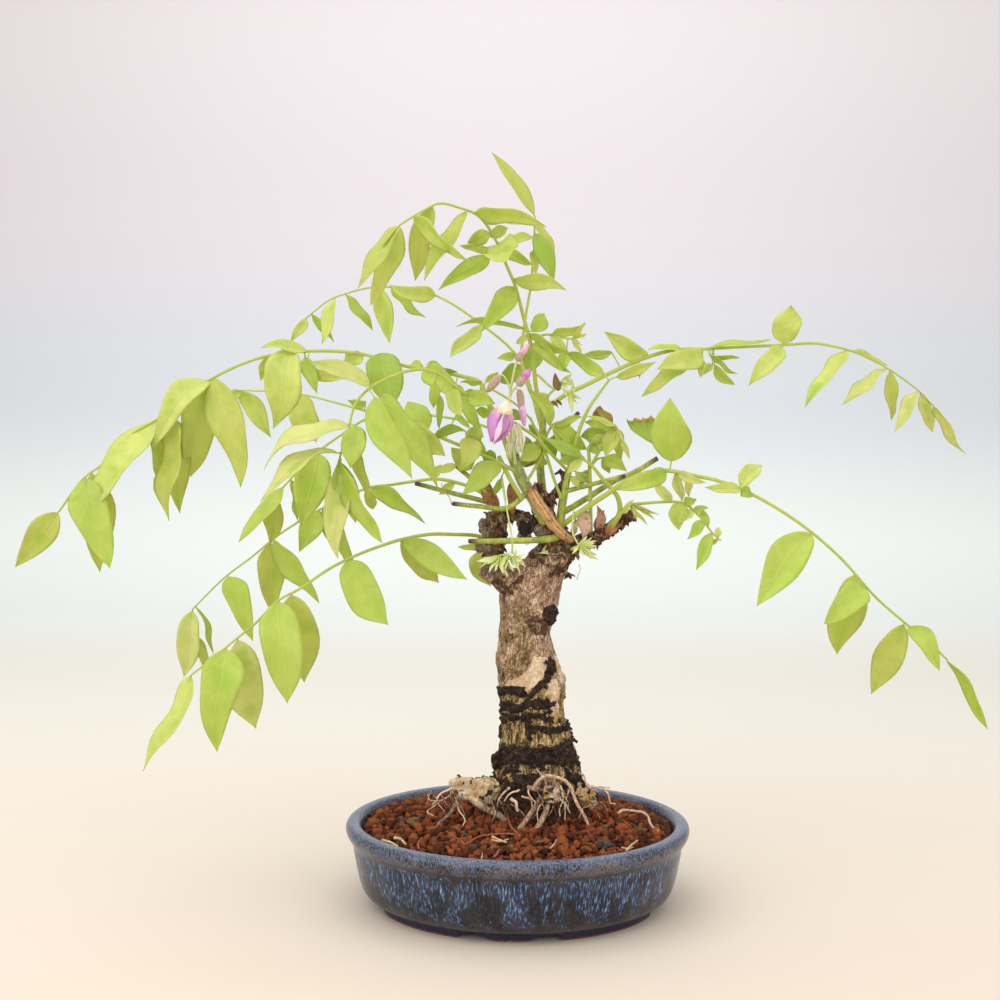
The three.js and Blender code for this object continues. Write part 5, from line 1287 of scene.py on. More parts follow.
    (6.8, 373, -13.5, 370, -8, 5, 0, 4), (6.3, 320.1, 13, 331, 5, 9.6, -1, 2),
]), ("leaf_upper_left", [
    (1, 0.45, [(12.4, 264, 5.5), (9, 276, 14), (6, 288, 22), (0.5, 303, 27), (-3, 308, 28), (-10, 315, 30),
        (-19, 322, 32), (-35, 333.5, 37), (-47, 340, 41), (-60, 344, 45), (-75, 345, 50), (-85, 344.5, 53),
        (-100, 340.5, 57), (-108, 337, 59), (-120, 327.5, 62)]),
], [
    (-46.4, 341.5, -74, 346.4, -9, 10, 2, 1), (-74, 345.5, -52.5, 327.5, -10, 6, 0, 2),
    (-79, 344, -73.5, 313, -9, 11, 0, 4), (-98, 341, -83, 320.5, 9, 6, 0, 2),
    (-104, 339, -111.5, 312.5, -9, 7, 0, 1), (-118, 329, -105, 314, 9, 5, 0, 2),
    (-120, 327.5, -129, 313, -5, 6, 0, 1), (-22, 324, -40, 305, -9, 9, 0, 1),
    (1, 302.5, -11, 291.5, 9, 11, 0, 3), (0, 302.5, 12.6, 304.6, 9, 11, 1, 3),
    (-3, 307, -13.5, 305, -6, 5, 0, 1),
]), ("leaf_long_right", [
    (1.4, 0.5, [(14, 277, 7), (25, 285, 12), (37, 291, 17), (50, 297.5, 22), (62, 303, 27), (75, 308, 32),
        (88, 311, 36), (103, 311.5, 40), (120, 312.5, 44), (147, 314, 49), (165, 315, 52), (175, 313.5, 53),
        (185, 311, 54), (195, 307, 55), (207, 300.5, 56), (223, 289, 57), (231, 281, 57)]),
], [
    (72, 308, 46.5, 321, -8, 11, 2.5, 1), (51.8, 309.4, 34.4, 307.4, 8, 5.4, 0.6, 2),
    (103, 309, 76, 299.5, -16, 14, 0, 1), (96, 306, 68, 284.5, -10, 9, 0, 4),
    (104, 313, 139.5, 317, 8, 3, 0, 2), (105, 308, 123, 306.5, -8, 2.5, 0, 2),
    (106, 308, 122, 297.5, -12, 3.5, 0, 2), (108, 303, 120.5, 291.5, 8, 6, -2, 4),
    (102, 305, 101, 295, -6, 5, 0, 4), (147, 316, 151.5, 336.5, -5, 17, 0, 1),
    (147, 313, 128, 291, -12, 12, 0, 1), (183, 310.5, 159.5, 279, -12, 9, 0, 1),
    (185, 311.5, 206, 303, 8, 3.5, 0, 4), (206, 300.5, 180, 280.5, -12, 7, 0, 0),
    (207, 300.5, 208, 272, 10, 7.5, 0, 4), (223, 289, 209.5, 265.5, -10, 7.5, 0, 0),
    (224, 288, 231, 266, 9, 7.5, 0, 0), (231, 281, 250, 253.5, -3, 5.5, 0, 0),
    (91, 312.4, 70.6, 310.6, -6, 4, -1, 1), (66, 305, 66.6, 294.6, 3, 1.6, 0, 1),
    (108, 303, 99.6, 297, 3, 5, 0, 1),
]), ("leaf_low_right", [
    (1.6, 0.55, [(24, 212, -5), (33, 219, -9), (41, 224.5, -13), (50, 230.5, -17), (58, 236, -21),
        (67, 240.5, -24), (77, 243, -28), (84, 243, -31), (100, 240, -36), (110, 238, -39),
        (123, 233.5, -43), (140, 225, -48), (160, 212, -52), (180, 195, -55), (200, 173, -57),
        (218, 157.5, -58), (229, 149, -58), (239.5, 139, -58)]),
], [
    (85, 247, 84, 284, -6, 20, 0, 2), (83, 242.5, 54, 232, -12, 10, 1, 2), (87, 241, 91, 225.5, 8, 5, 0, 0),
    (93, 240, 95, 228, 8, 4, 0, 0), (88, 241, 105, 236.5, -9, 5, -1, 0),
    (124, 232.5, 104, 234, -9, 6, 0, 1), (123, 234.5, 136, 246.5, 8, 9, 2, 1),
    (124, 232, 131, 228.5, -8, 6, 0, 3), (163, 209.5, 132.5, 166.5, -16, 18, -2, 2),
    (194, 181, 170, 156.5, -14, 15, 0, 2), (188, 185, 178.5, 140, 14, 17, 0, 4),
    (217, 158, 198, 119, 14, 14, 0, 4), (219, 158.5, 236, 132, -12, 10, 3, 2),
    (239.5, 139, 263, 100, -5, 5, 2.5, 2),
]), ("leaf_small_right", [
    (1.1, 0.4, [(52, 211, -7), (57, 219, -14), (62, 223.5, -15), (71, 224.8, -17), (83, 225.6, -20),
        (92, 225, -23), (100, 218.5, -26), (105, 212.5, -28), (109, 207.5, -29), (113, 204, -30)]),
], [
    (86, 227, 75.5, 235.5, 8, 6, 0, 0), (89, 226, 89.5, 209.5, -8, 10, 0, 2),
    (92, 225, 99.5, 227.5, -6, 5, 0, 2), (103, 214.5, 94, 204.5, -8, 6, 0, 2),
    (106, 212, 102, 222.5, 7, 4, 0, 2), (107, 208.5, 99, 187, -8, 7, 0, 2),
    (111, 206, 111.5, 211.5, 4, 3.5, 0, 1), (112, 205, 104, 201, 6, 3, 0, 0),
    (64, 224, 78, 218.5, -6, 2.2, 0, 0), (64, 224, 76, 215.5, 5, 2.2, 0, 0),
    (63, 223.7, 71.5, 212.8, -8, 2.2, 0, 0), (62, 223.5, 66, 215, 4, 2, 0, 0),
    (57, 219, 64, 226.6, -3, 3.4, 0, 1), (96, 221, 88, 213, -5, 5, 0, 1),
    (97, 220.6, 106, 222.4, -4, 4, 0, 2),
]), ("leaf_crossing_right", [
    (1.8, 0.7, [(50, 210.5, -4), (56, 219, -8), (55, 228, -10), (51, 233, -12), (45, 240, -14),
        (40, 246, -15), (35, 249.5, -15)]),
], [
    (35, 250, 10, 264.5, -3, 5.6, 1, 3), (35, 249.5, 21, 247.5, 3, 6, 0, 2),
    (34, 249, 26, 241, -3, 5, 0, 1),
]), ("leaf_upper_right", [
    (1.4, 0.7, [(27.5, 243, -6), (30, 254, -8), (33, 265, -10), (38, 277, -12), (44, 286, -13),
        (49.5, 293.5, -14)]),
], [
    (48, 296, 24, 308.5, 8, 8, -1, 2), (53, 295, 76, 304, -8, 6, 0, 1),
]), ("leaf_torn_right", [
    (1.3, 0.9, [(40, 203, -1), (39.8, 215, -4), (39.6, 230, -6), (39, 246, -7), (38.3, 256.5, -8)]),
    (1, 0.6, [(39.2, 244, -7), (44, 253, -9), (48, 260, -10), (54, 267.5, -11)]),
    (0.8, 0.5, [(39.2, 244, -7), (43, 249, -6), (47, 250.3, -5)]),
], [
    (53, 266.5, 36, 270, 8, 6, 0, 2), (54, 268.5, 37, 273.5, -5, 3, 0, 1), (50, 263, 34, 262, 9, 9, 0, 3),
    (52, 269, 43, 278.5, 6, 5, 0, 5), (53, 266, 48, 250, -8, 9, 0, 4), (54.5, 267, 57, 249, 4, 6, 0, 4),
    (55, 267.5, 61.5, 249.5, -6, 4, 0, 0), (47, 250.3, 60, 242.5, -5, 8, 1, 2),
    (46, 250, 50.5, 241.5, 4, 5, 0, 2), (50, 262.4, 37.4, 254, 8, 8, 0, 1),
    (40, 243, 33.4, 239.6, 5, 3, 0, 2), (39.8, 240, 32.4, 235, 4, 3.4, 0, 1),
    (52.4, 266, 45.4, 253.4, -6, 6, 0, 4), (44, 252.4, 38.6, 257.4, 5, 4, 0, 2),
]), ("leaf_centre", [
    (1, 0.7, [(12.3, 256, 4), (15, 263, -5), (18, 268.5, -9)]),
    (0.7, 0.6, [(-16.5, 288.3, 6), (-9.4, 284.3, 4), (-0.8, 278.4, 3), (6.3, 271, 4)]),
    (0.9, 0.9, [(-3.2, 269.4, -11), (9.5, 260.7, -11), (18, 251.5, -10), (26, 243.4, -7)]),
    (0.8, 1, [(5.5, 272.5, -10), (13.4, 255.2, -9), (19.7, 236.4, -8), (23.6, 226.9, -8)]),
    (0.8, 0.9, [(14.2, 254.4, -9), (9.5, 245.8, -10), (3.9, 236.4, -11)]),
    (1.3, 1.3, [(-11.8, 250.5, -13), (-5.5, 237.9, -13), (1.6, 226.1, -11)]),
    (0.9, 0.8, [(15.5, 270, -9), (26, 258.8, -10), (36.2, 249.3, -12)]),
    (0.5, 0.5, [(-10.2, 239.5, -12), (-7.9, 226.1, -11)]),
], [
    (18, 267.5, 3.6, 288.3, -6, 7.6, -3.4, 2), (18.5, 269.5, 35, 273, -4, 4.5, 0, 2),
    (18, 268, 37.6, 254.6, 5, 11, 0, 2), (30.6, 245.8, 22.8, 253.6, 3, 6, 0, 3),
    (31, 242.4, 39.3, 235.6, 3, 5, 0, 1), (28.7, 239.7, 33.4, 233, -3, 4, 0, 1),
    (14, 262, 20, 250, 6, 7, 0, 3),
]), ("leaf_heart", [
    (0.9, 0.6, [(11, 240, 4), (9, 247, -5), (8, 251, -9)]),
], [
    (8, 251, -1, 253.5, -4, 7, -2, 4), (11.8, 256, -0.8, 248.1, -4, 9, 0, 2), (8, 251, 10, 260, 5, 7, 0, 2),
    (8.5, 250, 2, 244.5, 4, 5, 0, 5), (8.4, 251, -1.4, 246.4, 5, 6, 0, 4),
    (9, 250.4, 15.6, 246, 4, 5, 0, 2), (8, 253, 3, 262, 4, 4, 0, 3), (10.4, 262, 4.6, 268.6, 4, 4, 0, 3),
])]
# Each leaflet's tint is partly its age, from pale young yellow-green to deeper grown green, and partly
# painted light and shade, lighter or darker as the leaflet is seen lit or in shade.
LEAF_AGE_AND_SHADE_TINTS = [rgb(*tint)[:3] for tint in [
    (230, 228, 152), (222, 228, 134), (197, 213, 102), (168, 193, 84), (208, 211, 114), (168, 118, 70)]]
STALK_TINT = rgb(200, 208, 106)[:3]
SHORT_STALK_TINT = rgb(200, 210, 108)[:3]
LEAF_THICKNESS = 0.34
LEAF_FOLD = 0.3
LEAF_ARCH = 0.07
NARROWEST = 0.3
STALK_SIDES = 8
ON_STALK = 2.5
SHORT_STALK = 1.6
SHORT_STALK_RADIUS = 0.42


def leaf_outline(t, widest):
    """Half the width at a share of the length: blunt at the base and drawn out to a point."""
    if t < widest:
        return (1 - (1 - t / widest) ** 2.2) ** 0.66
    return (1 - ((t - widest) / (1 - widest)) ** 2.3) ** 1.2


def leaflet(skin, base, tip, width, bow, chance, stations=16, sides=4, shade=0, **marks):
    """A leaflet from its base to its tip, seen at its drawn width, as a thin closed blade. Its points
    are marked with where they lie across it and along it, and with its shade."""
    run = tip - base
    length = np.linalg.norm(run)
    sight = (base + tip) / 2 - EYE
    sight /= np.linalg.norm(sight)
    side = np.cross(run, sight)
    side /= np.linalg.norm(side)
    face = np.cross(run, side)
    face /= np.linalg.norm(face)
    true_width = min(max(width, NARROWEST * length), 2 * width)
    turn = math.acos(width / true_width) * (1 if tip[1] < base[1] else -1)
    phase = chance.uniform(0, 6.28)
    ripple = chance.uniform(0.08, 0.24)
    twist = chance.uniform(-0.7, 0.7)
    widest = chance.uniform(0.27, 0.42)
    sway = chance.uniform(-0.035, 0.035)
    curl = chance.uniform(-0.5, 1)
    arch = LEAF_ARCH * chance.uniform(0.4, 1.8)
    top, places, rows = [], [], []
    for i in range(stations + 1):
        t = (1 - math.cos(math.pi * i / stations)) / 2
        half = true_width / 2 * leaf_outline(t, widest)
        angle = turn + twist * (t - 0.4)
        across = side * math.cos(angle) + face * math.sin(angle)
        facing = face * math.cos(angle) - side * math.sin(angle)
        middle = base + run * t + side * (4 * bow * t * (1 - t) + sway * length * math.sin(2 * math.pi * t))
        middle = middle + face * length * (4 * arch * t * (1 - t) + curl * max(0, t - 0.72) ** 2)
        row = []
        for k in range(-sides, sides + 1):
            s = k / sides
            if i in (0, stations) and k != 0:
                continue
            wave = ripple * half * s * s * math.sin(11 * t + phase + 2.2 * np.sign(s))
            edge = 1 + 0.09 * math.sin(7.5 * t + phase * 2 + 3 * np.sign(s)) * min(1, 4 * t)
            point = middle + across * s * half * edge + facing * (LEAF_FOLD * half * abs(s) ** 1.4 + wave)
            row.append(len(top))
            top.append((point, facing))
            places.append((s, t, shade))
        rows.append(row)
    thick = LEAF_THICKNESS / 2
    upper = [p + f * thick for p, f in top]
    lower = [p - f * thick for p, f in top]
    faces = []
    for a, b in zip(rows, rows[1:]):
        if len(a) == 1:
            faces += [(a[0], b[k + 1], b[k]) for k in range(len(b) - 1)]
        elif len(b) == 1:
            faces += [(a[k], a[k + 1], b[0]) for k in range(len(a) - 1)]
        else:
            faces += [(a[k], a[k + 1], b[k + 1], b[k]) for k in range(len(a) - 1)]
    left = [row[0] for row in rows[1:-1]]
    right = [row[-1] for row in rows[1:-1]]
    rim = [rows[0][0], *right, rows[-1][0], *reversed(left)]
    skin.add(upper + lower, thick_sheet(faces, rim, len(top)), mark=places * 2, **marks)


leaf_green, start, where = new_material("satin_leaf_green")
mark = start.attribute("mark")
tint = start.attribute("tint")
across = start.math("ABSOLUTE", mark.part(0))
along = mark.part(1)
mottle = where.noise(170, 3)
leaf_colour = (mottle.step(0.35, 0.7) * 0.4).blend(tint, rgb(214, 228, 190), "MULTIPLY")
fresh = where.noise(55, 2).step(0.5, 0.68) * (1 - across.step(0.3, 1)) * 0.5
leaf_colour = fresh.blend(leaf_colour, rgb(150, 196, 34))
vein = start.math("SINE", (along * 10 - across * 1.7) * 6.283)
veins = vein.step(0.86, 1) * across.step(0.04, 0.12) * 0.38
midrib = (1 - across.step(0.02, 0.09)) * 0.6
leaf_colour = (midrib + veins).blend(leaf_colour, rgb(120, 125, 70), "SCREEN")
leaf_surface = principled(start, leaf_colour, 0.48, vein * 0.12 - midrib, 0.0003)
glow = start.node("BsdfTranslucent", {}, {"Color": rgb(222, 234, 112)})
finish_with(start, start.node("MixShader", {}, {0: 0.38, 1: leaf_surface, 2: glow}))


def foot_on(lines, u, v):
    """The point of the stalks that is seen nearest to a drawn place."""
    every = np.vstack(lines)
    stalk_u, stalk_v = seen(every)
    away = np.hypot(stalk_u - u, stalk_v - v)
    nearest = int(np.argmin(away))
    return every[nearest], away[nearest]


# One leaflet on the right has lost its tip, and its torn edge has dried brown. Its upper and lower
# edges as seen, and how deep it lies.
TORN_TOP = [
    (59.8, 271.7), (62.5, 270.6), (64.5, 272.8), (67.6, 271.4), (69, 273), (70.8, 271.8), (73.5, 274.4),
    (75.9, 271), (76.6, 266),
]
TORN_BOTTOM = [
    (59.8, 270.4), (61.8, 266.3), (64.1, 264.2), (66.5, 262.8), (70.8, 260), (74.3, 258), (76.6, 261),
]
TORN_DEPTH = -23
TORN_COLUMNS = 30
TORN_ROWS = 7
GREEN_BLADE = rgb(168, 190, 84)[:3]
DRY_EDGE = rgb(216, 150, 96)[:3]


def torn_leaflet(skin):
    points, marks, tints = [], [], []
    for i in range(TORN_COLUMNS + 1):
        u = TORN_TOP[0][0] + (TORN_TOP[-1][0] - TORN_TOP[0][0]) * i / TORN_COLUMNS
        top = np.interp(u, *zip(*TORN_TOP)) + 0.7 * math.sin(i * 2.3) * math.sin(i * 0.7)
        bottom = np.interp(u, *zip(*TORN_BOTTOM))
        for j in range(TORN_ROWS + 1):
            t = j / TORN_ROWS
            dry = max(0, (t - 0.7) / 0.3) ** 1.5
            depth = TORN_DEPTH + 1.6 * math.sin(3 * t) + 2.4 * dry * math.sin(i * 0.9) + 0.25 * (76 - u)
            points.append(place(u, bottom + (top - bottom) * t, depth))
            marks.append((2 * t - 1, (u - 50) / 30, 0))
            tints.append(np.array(GREEN_BLADE) * (1 - dry) + np.array(DRY_EDGE) * dry)
    back = [p + [0, LEAF_THICKNESS, 0] for p in points]
    faces = thick_sheet(*grid_sheet(TORN_COLUMNS, TORN_ROWS), len(points))
    skin.add(points + back, faces, mark=marks * 2, tint=tints * 2)


for name, stalks, leaflets in FRONDS:
    chance = random.Random(name)
    skin = Skin()
    lines = []
    for first, last, points in stalks:
        lines.append(drawn_line(points, 10))
        add_stem(skin, lines[-1], first, last, STALK_SIDES, mark=(1, 0.5, 0), tint=STALK_TINT)
    for u, v, tip_u, tip_v, lean, width, bow, tint_index in leaflets:
        foot, away = foot_on(lines, u, v)
        tip = place(tip_u, tip_v, foot[1] + lean)
        base = foot if away < ON_STALK else place(u, v, foot[1] + lean * 0.15)
        neck = base + (tip - base) * min(0.05, SHORT_STALK / max(np.linalg.norm(tip - base), 1))
        stem = smooth_line([foot, (foot + neck) / 2 + [0, 0, 0.3], neck], 4)
        skin.add(*tube(stem, SHORT_STALK_RADIUS, 6), mark=(1, 0.5, 0), tint=SHORT_STALK_TINT)
        leaflet(skin, neck - (tip - neck) * 0.01, tip, width, bow, chance, tint=LEAF_AGE_AND_SHADE_TINTS[tint_index])
    if name == "leaf_low_right":
        torn_leaflet(skin)
    stand_in(name.replace("leaf_", "frond_"), skin, leaf_green, "leaf_green", name)


# Young leaves still folded in tufts: feathery, silky and pale yellow-green. Two hang on thin stalks
# before the top of the trunk, one sits on the middle shoot, and a tassel hangs under the flower.
# Each tuft: its name, its node, its stalks, and its leaflets as (u, v, tip u, tip v, lean, width, bow).
TUFTS = [("tuft_left", "tuft_left", [
    (0.9, 0.6, [(-11, 188, -4), (-12, 193, -10), (-11, 195, -13)]),
    (0.5, 0.5, [(-10.4, 238.3, -13), (-8.2, 226, -14.5), (-6, 214.8, -16), (-4, 203.6, -16),
        (-4, 196, -13)]),
    (0.5, 0.4, [(-11, 195, -13), (-7, 195.4, -14), (-2, 193.4, -14)]),
], [
    (-12, 195, -24, 191.5, -3, 3, 1), (-11.5, 195, -6, 183, -5, 3, 0), (-3, 195, 1.6, 192, -2, 3, -1),
    (-12, 194.5, -17, 185, -6, 2.4, 0), (-12, 195, -22, 188, -4, 2, 0), (-12, 195, -20, 194, -2, 2, 1),
    (-11, 195, -9, 184.5, -6, 2, 0), (-9, 195, -3, 186, -4, 2, 0), (-6, 195, 0, 187.6, -3, 2, 0),
    (-12, 195, -13.5, 186, -6, 1.8, 0), (-8, 195.4, -5, 197.5, -2, 1.8, -1),
    (-2, 193.4, 3, 195.6, -1, 2, 0), (-2, 193.4, 3.6, 188.8, -1, 2, 0), (-4, 194, 0.4, 184.6, -3, 1.8, 0.6),
    (-2.6, 193.6, 3, 191, 1, 1.6, 0), (-13, 195, -17.6, 190, -4, 1.8, 0), (-7, 195, -10, 188, -5, 1.8, 0),
    (-5, 195, -7.6, 187.4, -5, 1.6, 0), (-3, 194, -1.6, 198.6, -2, 1.8, 0),
]), ("tuft_right", "tuft_right", [
    (0.9, 0.6, [(28, 198, -5), (32, 200, -12), (34, 200.5, -14)]),
    (0.5, 0.5, [(30.5, 221.2, -9), (29.7, 208.6, -12), (33.4, 200.6, -14)]),
], [
    (33.5, 200.4, 43, 203.5, -3, 2.6, 0), (33.5, 200.4, 44.5, 193, -5, 2.8, 0),
    (33.5, 200.2, 41.5, 196.5, 2, 2, 0), (33, 200.2, 38, 206, -2, 2.2, 0),
    (33.5, 200.3, 43.5, 200.5, -2, 1.8, 0), (33.5, 200.3, 44, 195.5, -3, 1.8, 0),
    (33.5, 200.3, 40, 194, -4, 1.8, 0), (33.5, 200.3, 42, 202, 1, 1.6, 0),
    (33.5, 200.3, 36.6, 194.4, -4, 1.8, 0), (33.5, 200.3, 29.6, 196, -4, 1.8, 0),
    (23.4, 201.2, 11, 196.4, -6, 3.6, 0.5), (17.5, 200.6, 12.6, 197.4, -3, 3.6, 0),
    (18, 200.6, 22.4, 198, -3, 3.6, 0), (16.6, 199, 15.6, 194.6, -3, 2.8, 0),
    (33.5, 200.3, 40.6, 205.4, -1, 1.6, 0),
]), ("tuft_silky", "tuft_silky", [
    (1.2, 0.7, [(-4.5, 253, -9.5), (-3, 258, -8), (-2.5, 260, -7.5)]),
    (2.2, 1.2, [(-5.4, 250, -12), (-6, 254.4, -13), (-5.4, 258.6, -13)]),
], [
    (-3, 259, -4, 267.5, -2, 2.6, 0), (-2.7, 259, -0.5, 268, 2, 2.6, 0), (-3, 258, 2, 263, -2, 2.2, 0),
]), ("tuft_tip", "shoot_middle", [
    (0.9, 0.5, [(14.4, 280, 4), (16, 285, 2), (20, 289, 0), (22.4, 291, 0)]),
    (0.8, 0.7, [(9.5, 296.6, 6), (13.6, 292.6, 5), (17.4, 289.4, 2), (19.6, 288.6, 0.4)]),
    (0.5, 0.3, [(20, 289, 0), (24, 288.6, -1), (28, 286, -2), (31.6, 283.6, -2)]),
    (0.5, 0.3, [(21.6, 290.4, 0), (24, 294, 0), (27.6, 294.6, 0), (29.6, 291, 0), (29.4, 286.6, 0)]),
], [
    (16.6, 284, 8.6, 286.4, -2, 2.6, 0), (27.6, 285.4, 28.8, 275.2, -2, 3, 0.3),
    (28.4, 285.6, 34.4, 283, -2, 1.6, 0), (24, 294, 29.4, 297, -1, 1.8, 0),
    (23, 292.6, 28.6, 290.6, -1, 1.8, 0), (24, 294.6, 29, 294, -1, 1.8, 0),
    (26, 294.6, 30, 289.4, -2, 1.8, 0), (22.4, 292, 27, 288.8, -2, 1.8, 0),
    (28, 285.6, 32, 280.4, -2, 1.8, 0), (29.4, 291, 30, 284.6, -1, 1.8, 0),
    (24, 288.6, 26.6, 284, -1, 1.8, 0),
])]
TUFT_REACH = 6
SILK_COUNT = 120
SILK_DEPTH = -16
SILK_RADII = [0.26] * 8 + [0.2, 0.14, 0.06]
SILK = 3

tuft_green, start, where = new_material("silky_young_leaf")
mark = start.attribute("mark")
age = mark.part(1) * 0.7 + 0.5 * where.noise(400, 2)
pale_green = age.shades(0.2, 0.9, (190, 206, 106), (228, 236, 168))
silk_white = where.noise(900, 2).blend(rgb(226, 230, 186), rgb(250, 250, 226))
pale_green = mark.part(2).step(SILK / 2, SILK - 0.5).blend(pale_green, silk_white)
finish_with(start, principled(start, pale_green, 0.55, where.noise(2500, 2), 0.0002))
for name, node, stalks, leaflets in TUFTS:
    chance = random.Random(name)
    skin = Skin()
    lines = []
    for first, last, points in stalks:
        lines.append(drawn_line(points, 6))
        add_stem(skin, lines[-1], first, last, 8, mark=(0, 0.2, 0))
    for u, v, tip_u, tip_v, lean, width, bow in leaflets:
        foot, away = foot_on(lines, u, v)
        tip = place(tip_u, tip_v, foot[1] + lean)
        base = foot if away < TUFT_REACH else place(u, v, foot[1])
        leaflet(skin, base, tip, width, bow, chance, 8, 2)
    if name == "tuft_silky":
        for _ in range(SILK_COUNT):
            foot = place(-2 + chance.uniform(-1.6, 2.2), 266 + chance.uniform(-2, 3),
                         SILK_DEPTH + chance.uniform(-1, 1))
            tip = place(-2.6 + chance.uniform(-5.6, 4.6), 254 + chance.uniform(-3, 5),
                        SILK_DEPTH + chance.uniform(-3, 3))
            bend = (foot + tip) / 2 + [chance.uniform(-1.4, 1.8), chance.uniform(-1, 1), 1]
            skin.add(*tube(smooth_line([foot, bend, tip], 5), SILK_RADII, 5), mark=(0, 1, SILK))
    stand_in("young_" + name, skin, tuft_green, "silky_green", node)


# The flower spray: a thin pale stalk with four small buds and one open pea flower. Each sits in a
# brown downy cup, and its petals are lilac, whitish in the middle and deep purple in the folds.
# Each stalk: its radius at the two ends, and its points (u, v, depth).
SPRAY_STALKS = [
    (0.9, 0.6, [(-2.5, 246, -12), (-4.5, 262, -19), (-6.5, 276, -22), (-6, 284, -22), (-4, 296, -21),
                (-2.2, 304.5, -20)]),
    (0.5, 0.45, [(-5.9, 284, -22), (-3.5, 288, -24), (-1.2, 290.8, -25)]),
    (0.5, 0.45, [(-5.6, 287, -22), (-7.6, 292.8, -23), (-10, 296, -23), (-11.8, 295.6, -23)]),
    (0.5, 0.45, [(-6, 283, -22), (-3.2, 288.5, -20), (-0.6, 287.6, -19)]),
    (0.7, 0.7, [(-6.4, 277, -22), (-7, 280, -25), (-8, 280.5, -27)]),
]
# Each bud: the node of its petals, its foot and tip (u, v), its depth, its radius, and its petals'
# girth as a share of that.
BUDS = [
    ("petals_first_bud", -2.3, 304, 4.4, 313.4, -20, 2.1, 0.84),
    ("petals_second_bud", -1.5, 290.2, 5.4, 299.4, -25, 2.5, 0.96),
    ("petals_hanging_bud", -0.6, 288, 2.4, 267.5, -19, 2.1, 0.95),
    ("", -11.4, 295.8, -18.8, 286.5, -23, 2.5, 0),
]
BUD_COLOURS = {
    "petals_first_bud": ((222, 160, 194), (238, 192, 214)),
    "petals_second_bud": ((190, 104, 168), (214, 134, 190)),
    "petals_hanging_bud": ((206, 144, 200), (226, 178, 218)),
}
# The open flower's cup: its foot and mouth (u, v), its depth, and its radii from foot to mouth.
OPEN_FLOWER = (-7.6, 281.5, -8.9, 274, -27)
BELL_RADII = [0.9, 1.9, 2.9, 3.6, 4, 4.2, 4.1]
# Each folded petal: its foot and tip (u, v), how far it lies in front, width, bow and shade.
PETALS = [
    (-9.6, 278, -16.6, 257.8, -4, 6.4, -2.6, 0.3), (-7.6, 277.5, -14.8, 257.2, -4, 6.4, 3.4, 0.4),
    (-8.8, 277, -15.2, 257.3, -6.4, 4.4, 0.4, 1), (-8.2, 277, -13, 258.5, -5.2, 5, 2, 0.6),
    (-8.9, 277, -13.4, 258.5, 3, 10, 0.5, 0.2), (-9.4, 277, -15.6, 258, 0, 8, -1, 0.1),
]
SPINDLE_SHARES = [0, 0.06, 0.16, 0.35, 0.6, 0.8, 0.93, 1]
SPINDLE_GIRTHS = [0.35, 0.66, 0.9, 1, 0.92, 0.72, 0.46, 0.2]
CUP_SHARE = 0.6
PETALS_FROM = 0.36


def spindle(u, v, tip_u, tip_v, depth, radius, first, last):
    """The skin of a bud between two shares of its length, blunt at the foot and pointed at the tip."""
    foot, tip = place(u, v, depth), place(tip_u, tip_v, depth)
    shares = np.linspace(0, 1, 17)
    girths = np.interp(shares, SPINDLE_SHARES, SPINDLE_GIRTHS) * radius
    line = [foot + (tip - foot) * (first + (last - first) * s) for s in shares]
    return tube(line, girths, 16, 0.02)


stalk_brown, start, where = new_material("downy_cup_brown")
mark = start.attribute("mark")
down = where.noise(1600, 3)
cup = (down * 0.7 + mark.part(0) * 0.4).shades(0.3, 0.8, (150, 122, 106), (204, 176, 150))
cream_cup = down * 0.5 + where.noise(260, 2) * 0.6
cream_cup = cream_cup.shades(0.4, 0.68, (222, 200, 160), (250, 240, 214))
cup = mark.part(1).step(0.3, 0.7).blend(cup, cream_cup)
stalk_skin = down.shades(0.4, 0.6, (176, 192, 104), (214, 218, 150))
cup = mark.part(2).step(0.3, 0.7).blend(cup, stalk_skin)
finish_with(start, principled(start, cup, 0.75, down, 0.0002, Sheen_Weight=0.4))
skin = Skin()
for first, last, points in SPRAY_STALKS:
    add_stem(skin, drawn_line(points), first, last, 10, mark=(0, 0, 1))
for name, u, v, tip_u, tip_v, depth, radius, _ in BUDS:
    cup_end = CUP_SHARE if name else 1
    skin.add(*spindle(u, v, tip_u, tip_v, depth, radius, 0, cup_end), mark=(0.5, 0, 0))
u, v, tip_u, tip_v, depth = OPEN_FLOWER
line = drawn_line([(u, v, depth), (tip_u, tip_v, depth)], len(BELL_RADII) - 1)
skin.add(*tube(line, BELL_RADII, 20, 0.03), mark=(0, 1, 0))
stand_in("spray_stalk", skin, stalk_brown, "calyx_brown", "flower_stalk")

for name, u, v, tip_u, tip_v, depth, radius, plump in BUDS[:3]:
    petal, start, where = new_material(name.replace("petals", "lilac"))
    shade = where.noise(500, 2)
    finish_with(start, principled(start, shade.shades(0.35, 0.65, *BUD_COLOURS[name]), 0.5, shade, 0.0002))
    skin = Skin()
    skin.add(*spindle(u, v, tip_u, tip_v, depth, radius * plump, PETALS_FROM, 1))
    stand_in(name.replace("petals_", "closed_petals_"), skin, petal, "petal_lilac", name)

